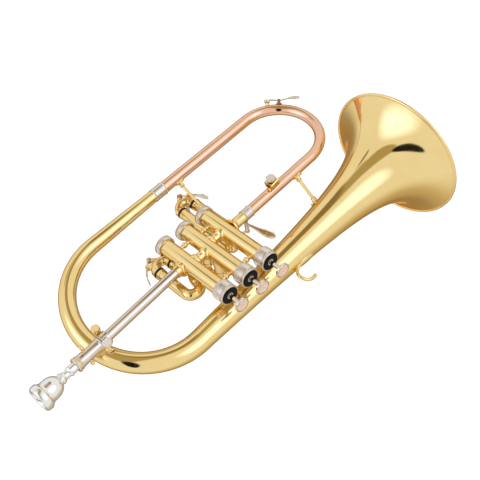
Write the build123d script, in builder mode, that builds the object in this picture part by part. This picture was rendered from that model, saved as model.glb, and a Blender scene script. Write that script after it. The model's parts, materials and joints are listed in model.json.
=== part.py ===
from build123d import *
import os
from math import cos, radians, sin

# Flugelhorn in B flat, held as it is played.
#
# +X points along the row of valves towards the bell, +Y to the player's left and +Z up the
# valves. The origin is on the axis of valve 2, half way between the faces of its two caps.
# All sizes are in millimetres.

os.makedirs("parts", exist_ok=True)

# --- driving dimensions -------------------------------------------------------------------
HORN_TILT = 4.0            # the long tubes dip towards the bell, degrees
WALL = 0.6                 # tube wall
FIT = 0.05                 # radial clearance of sliding tubes

# valve block
PITCH = 26.5               # distance between valve axes
CASING_R = 8.3
CASING_BORE = 7.45
CASING_HALF = 46.0         # half the casing's length
CAP_R = 10.6
CAP_FACE = 49.8            # height of the cap faces above and below the origin
BOTTOM_CAP_H = 7.0
TOP_CAP_H = 14.0
PISTON_R = CASING_BORE - FIT
PISTON_TOP = 35.0
PISTON_BOTTOM = -25.0
BUTTON_TOP = 67.2
BUTTON_R = 7.7
BUTTON_H = 3.4
PEARL_R = 6.4
PEARL_DISH_R = 42.0         # radius of the hollow for the fingertip
STEM_R = 2.1
FELT_TOP = 50.8
FELT_R = 7.6
PORT_R = 5.2               # bore of the valves' ports
TUBE_R = 5.6               # outer legs of the slides
KNUCKLE_Z = (-7.5, -14.5)  # heights of the ports between the casings
OUTLET_Z = -12.2
FIRST_PORTS = (-4.0, -17.0)
SECOND_PORTS = (1.0, -17.0)
THIRD_PORTS = (-2.0, -27.0)

# bore line: along the horn, to the left, and square to both
BRANCH_Y, BRANCH_W = 0.0, -10.3
LOWER_Y, LOWER_W = 7.5, -103.0
BELL_Y, BELL_W = -32.4, 40.3
FRONT_U = 158.0            # where the front bow starts
REAR_U = -70.0             # where the rear bow starts
FERRULE_U = 21.5           # joint of the copper loop and the rear bow
OUTLET_U = 52.0            # joint of the outlet knuckle and the copper loop
BELL_U = 240.5             # plane of the bell's rim
BELL_R = 78.0
STEM_U = 112.0             # where the spun flare is brazed to the bell's stem
RIM_BEAD, RIM_WIRE = 1.7, 1.05
BRANCH_R, FRONT_R, LOWER_R, FERRULE_R = 5.6, 5.8, 6.2, 6.5
BOW_R = (8.1, 8.6, 9.4, 10.4, 11.4)    # rear bow, from the lower tube to the bell

# leadpipe
LEAD_TILT = 5.5
LEAD_START = (-34.5, 0.0, -11.8)
LEAD_R = 5.2
LEAD_END = 107.0           # distance from valve 1 to the clamp
CLAMP_LENGTH = 9.0
RECEIVER_END = 138.0
MOUTHPIECE_END = 181.5
RIM_R = 13.4
RECEIVER_R = 6.3
MOUTHPIPE_R = LEAD_R - WALL - FIT
SHANK_IN = 16.0            # length of the mouthpiece's shank inside the receiver
CLAMP_DROP = 3.6           # clamp screw below the leadpipe's surface
LOCK_PLACE = 17.0          # cross rod of the receiver, behind the clamp
LOCK_REACH = 9.0           # balls of that rod, from the receiver's axis

# slides: two parallel legs on the far side of the valves
SLIDE_Y = -17.2
SLIDE_GAP = 17.0           # between the legs of the first and third slides
FIRST_X, THIRD_X = -46.0, 23.5
FIRST_END, THIRD_END = -35.0, -80.0
FIRST_INSERT, THIRD_INSERT = 11.5, 40.0    # length of the inner legs inside the outer ones
INNER_R = TUBE_R - WALL - FIT
BOW_DROP = 5.0             # straight run between the outer legs and the slide's bow
ELBOW_R = 5.85             # bend from a casing's port into a leg
SECOND_END, SECOND_INSERT = -27.0, 14.0
SECOND_PULL_R = 4.0

# water keys, third-slide trigger and lyre socket
PIN_Z = 4.0                # height of a key's pin above its tube
TRIGGER_X, TRIGGER_Z = 55.5, -18.0
TRIGGER_Y = (-12.6, -27.4)
ARM_Y = -26.0
LINK_X = THIRD_X + SLIDE_GAP / 2
LINK_TOP = TRIGGER_Z - 2.0
LYRE_U, LYRE_Y = 98.0, 10.7
LYRE_BORE, LYRE_LENGTH = 2.5, 11.0
LYRE_TOE = 9.5             # the socket turns away from the bell by this angle

_h = Vector(cos(radians(HORN_TILT)), 0, -sin(radians(HORN_TILT)))
_w = Vector(sin(radians(HORN_TILT)), 0, cos(radians(HORN_TILT)))
_y = Vector(0, 1, 0)
_lead = Vector(-cos(radians(LEAD_TILT)), 0, sin(radians(LEAD_TILT)))
_lead_up = Vector(_lead.Z, 0, -_lead.X)
VALVE_X = (-PITCH, 0.0, PITCH)


def along(u, y, w):
    """Point u along the horn, y to the left and w square to both."""
    return _h * u + _y * y + _w * w


def lead(s):
    """Point s along the leadpipe from valve 1."""
    return Vector(*LEAD_START) + _lead * s


def save(built, name):
    """Label one finished piece and write it."""
    built.part.label = name
    export_step(built.part, "parts/" + name + ".step")


def bow_stations(start, end, u, outward, radii, count=13):
    """Circles round a half-turn bow between two parallel tubes."""
    (y0, w0), (y1, w1) = start, end
    middle = Vector(0, (y0 + y1) / 2, (w0 + w1) / 2)
    spoke = Vector(0, (y0 - y1) / 2, (w0 - w1) / 2)
    size = spoke.length
    found = []
    for step in range(count):
        turn = 180.0 * step / (count - 1)
        part = middle + spoke * cos(radians(turn))
        centre = along(u + outward * size * sin(radians(turn)), part.Y, part.Z)
        run = spoke * (-sin(radians(turn)) / size)
        heading = _h * (outward * cos(radians(turn))) + _y * run.Y + _w * run.Z
        place = step / (count - 1) * (len(radii) - 1)
        low = min(int(place), len(radii) - 2)
        radius = radii[low] + (radii[low + 1] - radii[low]) * (place - low)
        found.append((centre, heading, radius))
    side = (_y * spoke.Y + _w * spoke.Z).cross(_h)
    return found, side


def lofted_tube(stations, side, wall=WALL):
    """Hollow tube through circles given by centre, heading and radius."""
    with BuildPart() as tube:
        for shrink, mode in ((0.0, Mode.ADD), (wall, Mode.SUBTRACT)):
            for centre, heading, radius in stations:
                with BuildSketch(Plane(origin=centre, x_dir=side, z_dir=heading)):
                    Circle(radius - shrink)
            loft(mode=mode)
    return tube


def straight_tube(start, end, r_start, r_end, wall=WALL):
    """Hollow straight tube, tapered if the radii differ."""
    heading = end - start
    side = _y if abs(heading.normalized().Y) < 0.9 else _h
    side = side - heading.normalized() * side.dot(heading.normalized())
    return lofted_tube([(start, heading, r_start), (end, heading, r_end)], side, wall)


def bent_tube(points, bend, r_out, r_in):
    """Hollow tube of one size along straight runs joined by arcs."""
    with BuildPart() as tube:
        with BuildLine() as route:
            FilletPolyline(*points, radius=bend)
        with BuildSketch(Plane(origin=route.line @ 0, z_dir=route.line % 0)):
            Circle(r_out)
            Circle(r_in, mode=Mode.SUBTRACT)
        sweep()
    return tube


# --- bell, rear bow and copper loop -------------------------------------------------------
def make_bell():
    """Flared bell with its rolled rim, its stem, and the wire in the rim."""
    profile = [(REAR_U, BOW_R[-1]), (0.0, 13.4), (55.0, 16.3), (110.0, 20.2), (155.0, 25.6),
               (183.0, 32.2), (208.0, 43.0), (226.0, 57.0), (BELL_U - 2.4, BELL_R - 2.6)]
    axis_plane = Plane(origin=along(0, BELL_Y, BELL_W), x_dir=_h, z_dir=(0, -1, 0))
    bead = (BELL_U - RIM_BEAD, BELL_R - RIM_BEAD)
    with BuildPart() as bell:
        with BuildSketch(axis_plane):
            with BuildLine():
                outer = Spline(*profile, tangents=((1, 0.03), (0.30, 1.0)), tangent_scalars=(1, 1))
                inner = Spline(*[(u + WALL * 1.2 * max(0, (u - 150) / 90), r - WALL) for u, r in profile],
                               tangents=((1, 0.03), (0.30, 1.0)), tangent_scalars=(1, 1))
                Line(outer @ 0, inner @ 0)
                Line(outer @ 1, inner @ 1)
            make_face()
            with Locations(bead):
                Circle(RIM_BEAD)
                Circle(RIM_WIRE, mode=Mode.SUBTRACT)
        revolve(axis=Axis(along(0, BELL_Y, BELL_W), _h))
    seam = Plane(origin=along(STEM_U, BELL_Y, BELL_W), z_dir=_h)
    for name, keep in (("bell", Keep.TOP), ("bell_stem", Keep.BOTTOM)):
        with BuildPart() as half:
            add(bell.part)
            split(bisect_by=seam, keep=keep)
        save(half, name)

    with BuildPart() as wire:
        with BuildSketch(axis_plane):
            with Locations(bead):
                Circle(RIM_WIRE - 0.02)
        revolve(axis=Axis(along(0, BELL_Y, BELL_W), _h))
    save(wire, "bell_rim_wire")


def make_rear_bow():
    """Lower brass tube and the half turn that joins it to the bell."""
    stations, side = bow_stations((LOWER_Y, LOWER_W), (BELL_Y, BELL_W), REAR_U, -1, BOW_R)
    turn = lofted_tube(stations, side)
    lower = straight_tube(along(FERRULE_U, LOWER_Y, LOWER_W), along(REAR_U, LOWER_Y, LOWER_W),
                          FERRULE_R, BOW_R[0])
    with BuildPart() as bow:
        add(turn.part)
        add(lower.part)
    save(bow, "rear_bow")


def make_copper_loop():
    """Copper branch, front bow and the copper part of the lower tube."""
    branch = straight_tube(along(OUTLET_U, BRANCH_Y, BRANCH_W), along(FRONT_U, BRANCH_Y, BRANCH_W),
                           BRANCH_R, FRONT_R)
    stations, side = bow_stations((BRANCH_Y, BRANCH_W), (LOWER_Y, LOWER_W), FRONT_U, 1,
                                  (FRONT_R, LOWER_R))
    turn = lofted_tube(stations, side)
    lower = straight_tube(along(FRONT_U, LOWER_Y, LOWER_W), along(FERRULE_U, LOWER_Y, LOWER_W),
                          LOWER_R, FERRULE_R)
    with BuildPart() as loop:
        add(branch.part)
        add(turn.part)
        add(lower.part)
    save(loop, "copper_loop")


def make_ferrule(name, centre_u, y, w, tube_r, length, wall=0.5, bead=0.3):
    """Nickel sleeve with a bead at each end, round a joint of two tubes."""
    start = along(centre_u - length / 2, y, w)
    bore = tube_r + FIT
    with BuildPart() as ferrule:
        with BuildSketch(Plane(origin=start, x_dir=_y, z_dir=_h)):
            Circle(bore + wall)
            Circle(bore, mode=Mode.SUBTRACT)
        extrude(amount=length)
        for u in (0.8, length - 0.8):
            with BuildSketch(Plane(origin=start + _h * (u - 0.8), x_dir=_y, z_dir=_h)):
                Circle(bore + wall + bead)
                Circle(bore, mode=Mode.SUBTRACT)
            extrude(amount=1.6)
        fillet(ferrule.edges().filter_by(GeomType.CIRCLE).group_by(SortBy.RADIUS)[-1], 0.25)
    save(ferrule, name)


# --- valves -------------------------------------------------------------------------------
def port_directions(valve):
    """Where each casing is pierced: height and heading of every port."""
    first_leg = Vector(FIRST_X + SLIDE_GAP - VALVE_X[0], SLIDE_Y, 0)
    third_a = Vector(THIRD_X - VALVE_X[2], SLIDE_Y, 0)
    third_b = Vector(THIRD_X + SLIDE_GAP - VALVE_X[2], SLIDE_Y, 0)
    ports = {
        1: [(LEAD_START[2] + 0.4, Vector(-1, 0, 0)), (KNUCKLE_Z[0], Vector(1, 0, 0)),
            (FIRST_PORTS[0], first_leg), (FIRST_PORTS[1], first_leg)],
        2: [(KNUCKLE_Z[0], Vector(-1, 0, 0)), (KNUCKLE_Z[1], Vector(1, 0, 0)),
            (SECOND_PORTS[0], Vector(0, -1, 0)), (SECOND_PORTS[1], Vector(0, -1, 0))],
        3: [(KNUCKLE_Z[1], Vector(-1, 0, 0)), (OUTLET_Z, Vector(1, 0, 0)),
            (THIRD_PORTS[0], third_a), (THIRD_PORTS[1], third_b)],
    }
    return ports[valve]


def make_casing(valve):
    """Valve casing: a tube with its rims and the holes for its ports."""
    x = VALVE_X[valve - 1]
    with BuildPart() as casing:
        with Locations((x, 0, 0)):
            Cylinder(CASING_R, 2 * CASING_HALF)
            Cylinder(CASING_BORE, 2 * CASING_HALF, mode=Mode.SUBTRACT)
        for z, heading in port_directions(valve):
            with BuildSketch(Plane(origin=(x, 0, z), z_dir=heading)):
                Circle(PORT_R - 0.6)
            extrude(amount=CASING_R + 2, mode=Mode.SUBTRACT)
    save(casing, f"valve_casing_{valve}")


def make_bottom_caps():
    """Three bottom caps, each with its vent hole."""
    inside = CASING_R + FIT
    centred = (Align.CENTER, Align.CENTER, Align.MIN)
    with BuildPart() as caps:
        with Locations(*[(x, 0, -CAP_FACE) for x in VALVE_X]):
            Cylinder(CAP_R, BOTTOM_CAP_H, align=centred)
        fillet(caps.edges().group_by(Axis.Z)[0], 1.4)
        chamfer(caps.edges().group_by(Axis.Z)[-1], 0.5)
        with Locations(*[(x, 0, -CAP_FACE) for x in VALVE_X]):
            with Locations((0, 0, CAP_FACE - CASING_HALF - 1.6)):
                Cylinder(inside - 1.6, 20, align=centred, mode=Mode.SUBTRACT)
            with Locations((0, 0, CAP_FACE - CASING_HALF)):
                Cylinder(inside, 20, align=centred, mode=Mode.SUBTRACT)
            Cylinder(1.6, 12, mode=Mode.SUBTRACT)
    save(caps, "bottom_caps")


def make_top_cap(valve):
    """Top cap with its stem hole and a recess for the felt."""
    x = VALVE_X[valve - 1]
    inside = CASING_R + FIT
    with BuildPart() as top:
        with Locations((x, 0, CAP_FACE)):
            Cylinder(CAP_R, TOP_CAP_H, align=(Align.CENTER, Align.CENTER, Align.MAX))
        fillet(top.edges().group_by(Axis.Z)[-1], 1.2)
        chamfer(top.edges().group_by(Axis.Z)[0], 0.5)
        with Locations((x, 0, CASING_HALF)):
            Cylinder(inside, 30, align=(Align.CENTER, Align.CENTER, Align.MAX), mode=Mode.SUBTRACT)
        with Locations((x, 0, CAP_FACE)):
            Cylinder(STEM_R + 0.3, 20, mode=Mode.SUBTRACT)
            CounterBoreHole(STEM_R + 0.3, FELT_R + 0.1, 1.0, depth=8)
    save(top, f"top_cap_{valve}")


def make_cap_felts():
    """Three black felt washers, one in the face of each top cap."""
    with BuildPart() as felts:
        with Locations(*[(x, 0, CAP_FACE - 1.0) for x in VALVE_X]):
            Cylinder(FELT_R, FELT_TOP - CAP_FACE + 1.0, align=(Align.CENTER, Align.CENTER, Align.MIN))
            Cylinder(3.4, 12, mode=Mode.SUBTRACT)
    save(felts, "cap_felts")


def make_piston(valve):
    """Piston with its three cross ports and a hollow crown."""
    x = VALVE_X[valve - 1]
    with BuildPart() as piston:
        with Locations((x, 0, PISTON_BOTTOM)):
            Cylinder(PISTON_R, PISTON_TOP - PISTON_BOTTOM,
                     align=(Align.CENTER, Align.CENTER, Align.MIN))
        with Locations((x, 0, PISTON_TOP)):
            Cylinder(PISTON_R - 1.2, 16, align=(Align.CENTER, Align.CENTER, Align.MAX),
                     mode=Mode.SUBTRACT)
            Cylinder(STEM_R + 1.4, 16, align=(Align.CENTER, Align.CENTER, Align.MAX))
            Cylinder(STEM_R - 0.5, 12, align=(Align.CENTER, Align.CENTER, Align.MAX),
                     mode=Mode.SUBTRACT)
        for z, heading in ((10.0, Vector(1, 0.25, 0)), (-1.0, Vector(1, 0, 0)), (-13.5, Vector(0.3, 1, 0))):
            with BuildSketch(Plane(origin=(x, 0, z), z_dir=heading)):
                Circle(PORT_R - 0.8)
            extrude(amount=12, both=True, mode=Mode.SUBTRACT)
        with Locations((x, 0, PISTON_BOTTOM)):
            Cylinder(PISTON_R - 1.6, 5, align=(Align.CENTER, Align.CENTER, Align.MIN),
                     mode=Mode.SUBTRACT)
    save(piston, f"piston_{valve}")


def make_stem(valve):
    """Stem with the finger button's dished cup on top."""
    x = VALVE_X[valve - 1]
    with BuildPart() as stem:
        with BuildSketch(Plane(origin=(x, 0, 0), x_dir=(1, 0, 0), z_dir=(0, -1, 0))):
            with BuildLine():
                low = PISTON_TOP + 0.05
                under = BUTTON_TOP - BUTTON_H
                Polyline((0, low), (STEM_R, low), (STEM_R, under - 1.2), (STEM_R + 0.9, under - 0.3),
                         (BUTTON_R - 1.6, under), (BUTTON_R, under + 1.1), (BUTTON_R, BUTTON_TOP - 0.5),
                         (BUTTON_R - 0.5, BUTTON_TOP), (PEARL_R + FIT, BUTTON_TOP),
                         (PEARL_R + FIT, BUTTON_TOP - 1.6), (0, BUTTON_TOP - 1.6), (0, low))
            make_face()
        revolve(axis=Axis((x, 0, 0), (0, 0, 1)))
    save(stem, f"valve_stem_{valve}")

    with BuildPart() as pearl:
        with Locations((x, 0, BUTTON_TOP - 1.55)):
            Cylinder(PEARL_R, 1.35, align=(Align.CENTER, Align.CENTER, Align.MIN))
        fillet(pearl.edges().group_by(Axis.Z)[-1], 0.3)
        with Locations((x, 0, BUTTON_TOP - 0.7 + PEARL_DISH_R)):
            Sphere(PEARL_DISH_R, mode=Mode.SUBTRACT)
    save(pearl, f"button_pearl_{valve}")


def make_spring(valve):
    """Return spring between the bottom cap and the piston."""
    x = VALVE_X[valve - 1]
    low, turns = -CASING_HALF - 1.5, 6
    height = PISTON_BOTTOM + 5 - low - 1.2
    with BuildPart() as spring:
        with BuildLine() as coil:
            Helix(pitch=height / turns, height=height, radius=4.6, center=(x, 0, low + 0.6))
        with BuildSketch(Plane(origin=coil.line @ 0, z_dir=coil.line % 0)):
            Circle(0.45)
        sweep()
    save(spring, f"valve_spring_{valve}")


def cut_casings():
    """Take the valve casings' outside out of the piece that is being built."""
    with Locations(*[(x, 0, 0) for x in VALVE_X]):
        Cylinder(CASING_R + 0.02, 2 * CASING_HALF, mode=Mode.SUBTRACT)


def make_knuckles():
    """Two short port tubes between the casings, each with a collar at both ends."""
    with BuildPart() as knuckles:
        for index, z in enumerate(KNUCKLE_Z):
            x = VALVE_X[index]
            with BuildSketch(Plane(origin=(x, 0, z), z_dir=(1, 0, 0))):
                Circle(PORT_R - 0.2)
            extrude(amount=PITCH)
            for collar in (x + 7.6, x + PITCH - 10.4):
                with BuildSketch(Plane(origin=(collar, 0, z), z_dir=(1, 0, 0))):
                    Circle(PORT_R + 0.9)
                extrude(amount=2.8)
        fillet(knuckles.edges().filter_by(GeomType.CIRCLE).group_by(SortBy.RADIUS)[-1], 0.8)
        for index, z in enumerate(KNUCKLE_Z):
            with BuildSketch(Plane(origin=(VALVE_X[index], 0, z), z_dir=(1, 0, 0))):
                Circle(PORT_R - 0.8)
            extrude(amount=PITCH, mode=Mode.SUBTRACT)
        cut_casings()
    save(knuckles, "port_knuckles")


def make_spacers():
    """Four ball spacers that hold the casings apart."""
    with BuildPart() as spacers:
        with Locations(*[(x + PITCH / 2, 0, z) for x in VALVE_X[:2] for z in (-31.5, 30.0)]):
            Cylinder(1.9, PITCH - 2 * CASING_R + 1.0, rotation=(0, 90, 0))
            Sphere(3.1)
        cut_casings()
    save(spacers, "casing_spacers")


def make_outlet():
    """Brass knuckle from valve 3 to the copper branch, with its saddle collar."""
    start = along(VALVE_X[2], BRANCH_Y, BRANCH_W)
    with BuildPart() as outlet:
        with BuildSketch(Plane(origin=start, x_dir=_y, z_dir=_h)):
            Circle(BRANCH_R)
        extrude(amount=OUTLET_U - VALVE_X[2])
        with BuildSketch(Plane(origin=start + _h * 7, x_dir=_y, z_dir=_h)):
            Circle(BRANCH_R + 1.9)
        extrude(amount=3.4)
        fillet(outlet.edges().filter_by(GeomType.CIRCLE).group_by(SortBy.RADIUS)[-1], 1.3)
        with BuildSketch(Plane(origin=start, x_dir=_y, z_dir=_h)):
            Circle(BRANCH_R - WALL)
        extrude(amount=OUTLET_U - VALVE_X[2], mode=Mode.SUBTRACT)
        cut_casings()
    save(outlet, "outlet_knuckle")


# --- slides -------------------------------------------------------------------------------
def leg_plane(x, z):
    return Plane(origin=(x, SLIDE_Y, z), x_dir=(1, 0, 0), z_dir=(0, 0, -1))


def make_outer_legs(name, tubes, end_z, leg_xs):
    """Fixed legs of a slide, each with a bead at its open end."""
    with BuildPart() as legs:
        for tube in tubes:
            add(tube.part)
        for x in leg_xs:
            with BuildSketch(leg_plane(x, end_z + 3.0)):
                Circle(TUBE_R + 0.5)
                Circle(TUBE_R - WALL, mode=Mode.SUBTRACT)
            extrude(amount=3.0)
        cut_casings()
    save(legs, name)


def port_route(x, casing_x, port_z, end_z):
    """Route from a casing's port to the open end of a leg below it."""
    reach = Vector(x - casing_x, SLIDE_Y, 0).normalized() * (CASING_R - 1.0)
    return [(casing_x + reach.X, reach.Y, port_z), (x, SLIDE_Y, port_z), (x, SLIDE_Y, end_z)]


def make_first_legs():
    """Outer legs of the first slide: one leg turns over a crook into the upper port."""
    near, far, top = FIRST_X + SLIDE_GAP, FIRST_X, 2.0
    start, corner, _ = port_route(near, VALVE_X[0], FIRST_PORTS[0], top)
    with BuildPart() as crook:
        with BuildLine() as route:
            FilletPolyline(start, corner, (near, SLIDE_Y, top), radius=ELBOW_R)
            ThreePointArc((near, SLIDE_Y, top), (near - SLIDE_GAP / 2, SLIDE_Y, top + SLIDE_GAP / 2),
                          (far, SLIDE_Y, top))
            Line((far, SLIDE_Y, top), (far, SLIDE_Y, FIRST_END))
        with BuildSketch(Plane(origin=start, z_dir=Vector(*corner) - Vector(*start))):
            Circle(TUBE_R)
            Circle(TUBE_R - WALL, mode=Mode.SUBTRACT)
        sweep()
    lower = bent_tube(port_route(near, VALVE_X[0], FIRST_PORTS[1], FIRST_END), ELBOW_R,
                      TUBE_R, TUBE_R - WALL)
    make_outer_legs("first_slide_tubes", (crook, lower), FIRST_END, (near, far))


def make_third_legs():
    """Outer legs of the third slide."""
    legs = (THIRD_X, THIRD_X + SLIDE_GAP)
    tubes = [bent_tube(port_route(x, VALVE_X[2], port_z, THIRD_END), ELBOW_R, TUBE_R, TUBE_R - WALL)
             for x, port_z in zip(legs, THIRD_PORTS)]
    make_outer_legs("third_slide_tubes", tubes, THIRD_END, legs)


def make_inner_slide(name, x, end_z, insert):
    """Inner legs, their bow and its ferrules, and the black bumper rings."""
    radius = SLIDE_GAP / 2
    low = end_z - BOW_DROP
    with BuildPart() as slide:
        with BuildLine() as route:
            Line((x, SLIDE_Y, end_z + insert), (x, SLIDE_Y, low))
            ThreePointArc((x, SLIDE_Y, low), (x + radius, SLIDE_Y, low - radius),
                          (x + SLIDE_GAP, SLIDE_Y, low))
            Line((x + SLIDE_GAP, SLIDE_Y, low), (x + SLIDE_GAP, SLIDE_Y, end_z + insert))
        with BuildSketch(leg_plane(x, end_z + insert)):
            Circle(INNER_R)
            Circle(INNER_R - WALL, mode=Mode.SUBTRACT)
        sweep()
        for leg in (x, x + SLIDE_GAP):
            with BuildSketch(leg_plane(leg, end_z - 3.0)):
                Circle(TUBE_R + 0.4)
                Circle(INNER_R - 0.1, mode=Mode.SUBTRACT)
            extrude(amount=4.5)
    save(slide, name)

    with BuildPart() as bumpers:
        for leg in (x, x + SLIDE_GAP):
            with BuildSketch(leg_plane(leg, end_z - 0.3)):
                Circle(TUBE_R + 0.7)
                Circle(INNER_R + 0.02, mode=Mode.SUBTRACT)
            extrude(amount=2.6)
    save(bumpers, name + "_bumpers")


def make_second_slide():
    """Short second slide on the far side, its two legs one above the other."""
    high, low = SECOND_PORTS
    with BuildPart() as legs:
        for z in SECOND_PORTS:
            with BuildSketch(Plane(origin=(0, -6, z), x_dir=(1, 0, 0), z_dir=(0, -1, 0))):
                Circle(TUBE_R)
            extrude(amount=-SECOND_END - 6)
            with BuildSketch(Plane(origin=(0, SECOND_END + 2.4, z), x_dir=(1, 0, 0), z_dir=(0, -1, 0))):
                Circle(TUBE_R + 0.5)
            extrude(amount=2.4)
        for z in SECOND_PORTS:
            with BuildSketch(Plane(origin=(0, -6, z), x_dir=(1, 0, 0), z_dir=(0, -1, 0))):
                Circle(TUBE_R - WALL)
            extrude(amount=-SECOND_END, mode=Mode.SUBTRACT)
        cut_casings()
    save(legs, "second_slide_tubes")

    reach, radius = SECOND_END - 3.0, (high - low) / 2
    with BuildPart() as slide:
        with BuildLine():
            Line((0, SECOND_END + SECOND_INSERT, high), (0, reach, high))
            ThreePointArc((0, reach, high), (0, reach - radius, (high + low) / 2), (0, reach, low))
            Line((0, reach, low), (0, SECOND_END + SECOND_INSERT, low))
        with BuildSketch(Plane(origin=(0, SECOND_END + SECOND_INSERT, high), z_dir=(0, -1, 0))):
            Circle(INNER_R)
            Circle(INNER_R - WALL, mode=Mode.SUBTRACT)
        sweep()
        for z in SECOND_PORTS:
            with BuildSketch(Plane(origin=(0, SECOND_END - 0.3, z), x_dir=(1, 0, 0), z_dir=(0, -1, 0))):
                Circle(TUBE_R + 0.4)
                Circle(INNER_R - 0.1, mode=Mode.SUBTRACT)
            extrude(amount=4.0)
        with Locations((0, reach - radius - INNER_R - 3.2, (high + low) / 2)):
            Sphere(SECOND_PULL_R)
        with Locations((0, reach, (high + low) / 2)):
            Cylinder(radius + INNER_R - 1.0, 30, rotation=(0, 90, 0), mode=Mode.SUBTRACT)
    save(slide, "second_slide")


# --- leadpipe, clamp, receiver and mouthpiece -----------------------------------------------
def lead_plane(s):
    return Plane(origin=lead(s), x_dir=(0, 1, 0), z_dir=_lead)


def lead_ring(s, length, r_out, r_in):
    """Ring along the leadpipe, outside any builder."""
    with BuildPart() as ring:
        with BuildSketch(lead_plane(s)):
            Circle(r_out)
            Circle(r_in, mode=Mode.SUBTRACT)
        extrude(amount=length)
    return ring.part


def make_leadpipe():
    """Brass inlet socket on valve 1 and the fixed outer leadpipe in it."""
    with BuildPart() as inlet:
        with BuildSketch(lead_plane(-3.0)):
            Circle(LEAD_R + 0.9)
        extrude(amount=11.0)
        with BuildSketch(lead_plane(0.2)):
            Circle(LEAD_R + 2.4)
        extrude(amount=3.0)
        fillet(inlet.edges().filter_by(GeomType.CIRCLE).group_by(SortBy.RADIUS)[-1], 1.2)
        with BuildSketch(lead_plane(-3.0)):
            Circle(LEAD_R + 0.02)
        extrude(amount=12.0, mode=Mode.SUBTRACT)
        cut_casings()
    save(inlet, "inlet_socket")

    with BuildPart() as pipe:
        add(lead_ring(1.5, LEAD_END - 1.5, LEAD_R, LEAD_R - WALL))
    save(pipe, "leadpipe")


def make_clamp():
    """Split clamp collar on the end of the leadpipe, with ears for its screw."""
    with BuildPart() as clamp:
        with BuildSketch(lead_plane(LEAD_END - CLAMP_LENGTH)):
            RegularPolygon(LEAD_R + 2.6, 6)
            with Locations((0, LEAD_R + CLAMP_DROP - 0.4)):
                Rectangle(9.0, 6.8)
            Circle(LEAD_R + 0.02, mode=Mode.SUBTRACT)
            with Locations((0, LEAD_R + CLAMP_DROP)):
                Rectangle(1.2, 8.6, mode=Mode.SUBTRACT)
        extrude(amount=CLAMP_LENGTH)
        with BuildSketch(Plane(origin=clamp_screw_seat() - _y * 20, z_dir=(0, 1, 0))):
            Circle(1.6)
        extrude(amount=40, mode=Mode.SUBTRACT)
    save(clamp, "clamp_collar")

    with BuildPart() as screw:
        with BuildSketch(Plane(origin=clamp_screw_seat() - _y * 5.4, z_dir=(0, 1, 0))):
            Circle(1.5)
        extrude(amount=10.6)
        with BuildSketch(Plane(origin=clamp_screw_seat() + _y * 4.8, z_dir=(0, 1, 0))):
            Circle(2.4)
        extrude(amount=1.2)
        with BuildSketch(Plane(origin=clamp_screw_seat() + _y * 6.0, z_dir=(0, 1, 0))):
            Circle(4.3)
        extrude(amount=5.0)
        fillet(screw.edges().filter_by(GeomType.CIRCLE).group_by(SortBy.RADIUS)[-1], 0.7)
    save(screw, "clamp_screw")


def clamp_screw_seat():
    """Point on the clamp screw's axis, between the collar's two ears."""
    return lead(LEAD_END - CLAMP_LENGTH / 2) - _lead_up * (LEAD_R + CLAMP_DROP)


def make_receiver():
    """Sliding mouthpipe with the receiver sleeve that holds the mouthpiece."""
    with BuildPart() as receiver:
        add(lead_ring(60.0, RECEIVER_END - 60.0 - SHANK_IN - 1.0, MOUTHPIPE_R, MOUTHPIPE_R - WALL))
        add(lead_ring(LEAD_END + 0.4, RECEIVER_END - LEAD_END - 0.4, RECEIVER_R, MOUTHPIPE_R - 0.02))
        add(lead_ring(LEAD_END + 0.4, 2.6, RECEIVER_R + 0.8, MOUTHPIPE_R - 0.02))
        add(lead_ring(RECEIVER_END - 3.4, 3.4, RECEIVER_R + 0.9, MOUTHPIPE_R - 0.02))
        across_pipe = (_lead_up * 0.536 - _y * 0.844).normalized()
        middle = lead(LEAD_END + LOCK_PLACE)
        with BuildSketch(Plane(origin=middle - across_pipe * LOCK_REACH, z_dir=across_pipe)):
            Circle(1.3)
        extrude(amount=2 * LOCK_REACH)
        with Locations(middle - across_pipe * LOCK_REACH, middle + across_pipe * LOCK_REACH):
            Sphere(2.2)
        with BuildSketch(lead_plane(LEAD_END - 1)):
            Circle(MOUTHPIPE_R - WALL)
        extrude(amount=RECEIVER_END - LEAD_END - SHANK_IN, mode=Mode.SUBTRACT)
        with BuildSketch(lead_plane(RECEIVER_END - SHANK_IN - 0.5)):
            Circle(MOUTHPIPE_R)
        extrude(amount=SHANK_IN + 2, mode=Mode.SUBTRACT)
    save(receiver, "receiver")


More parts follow.
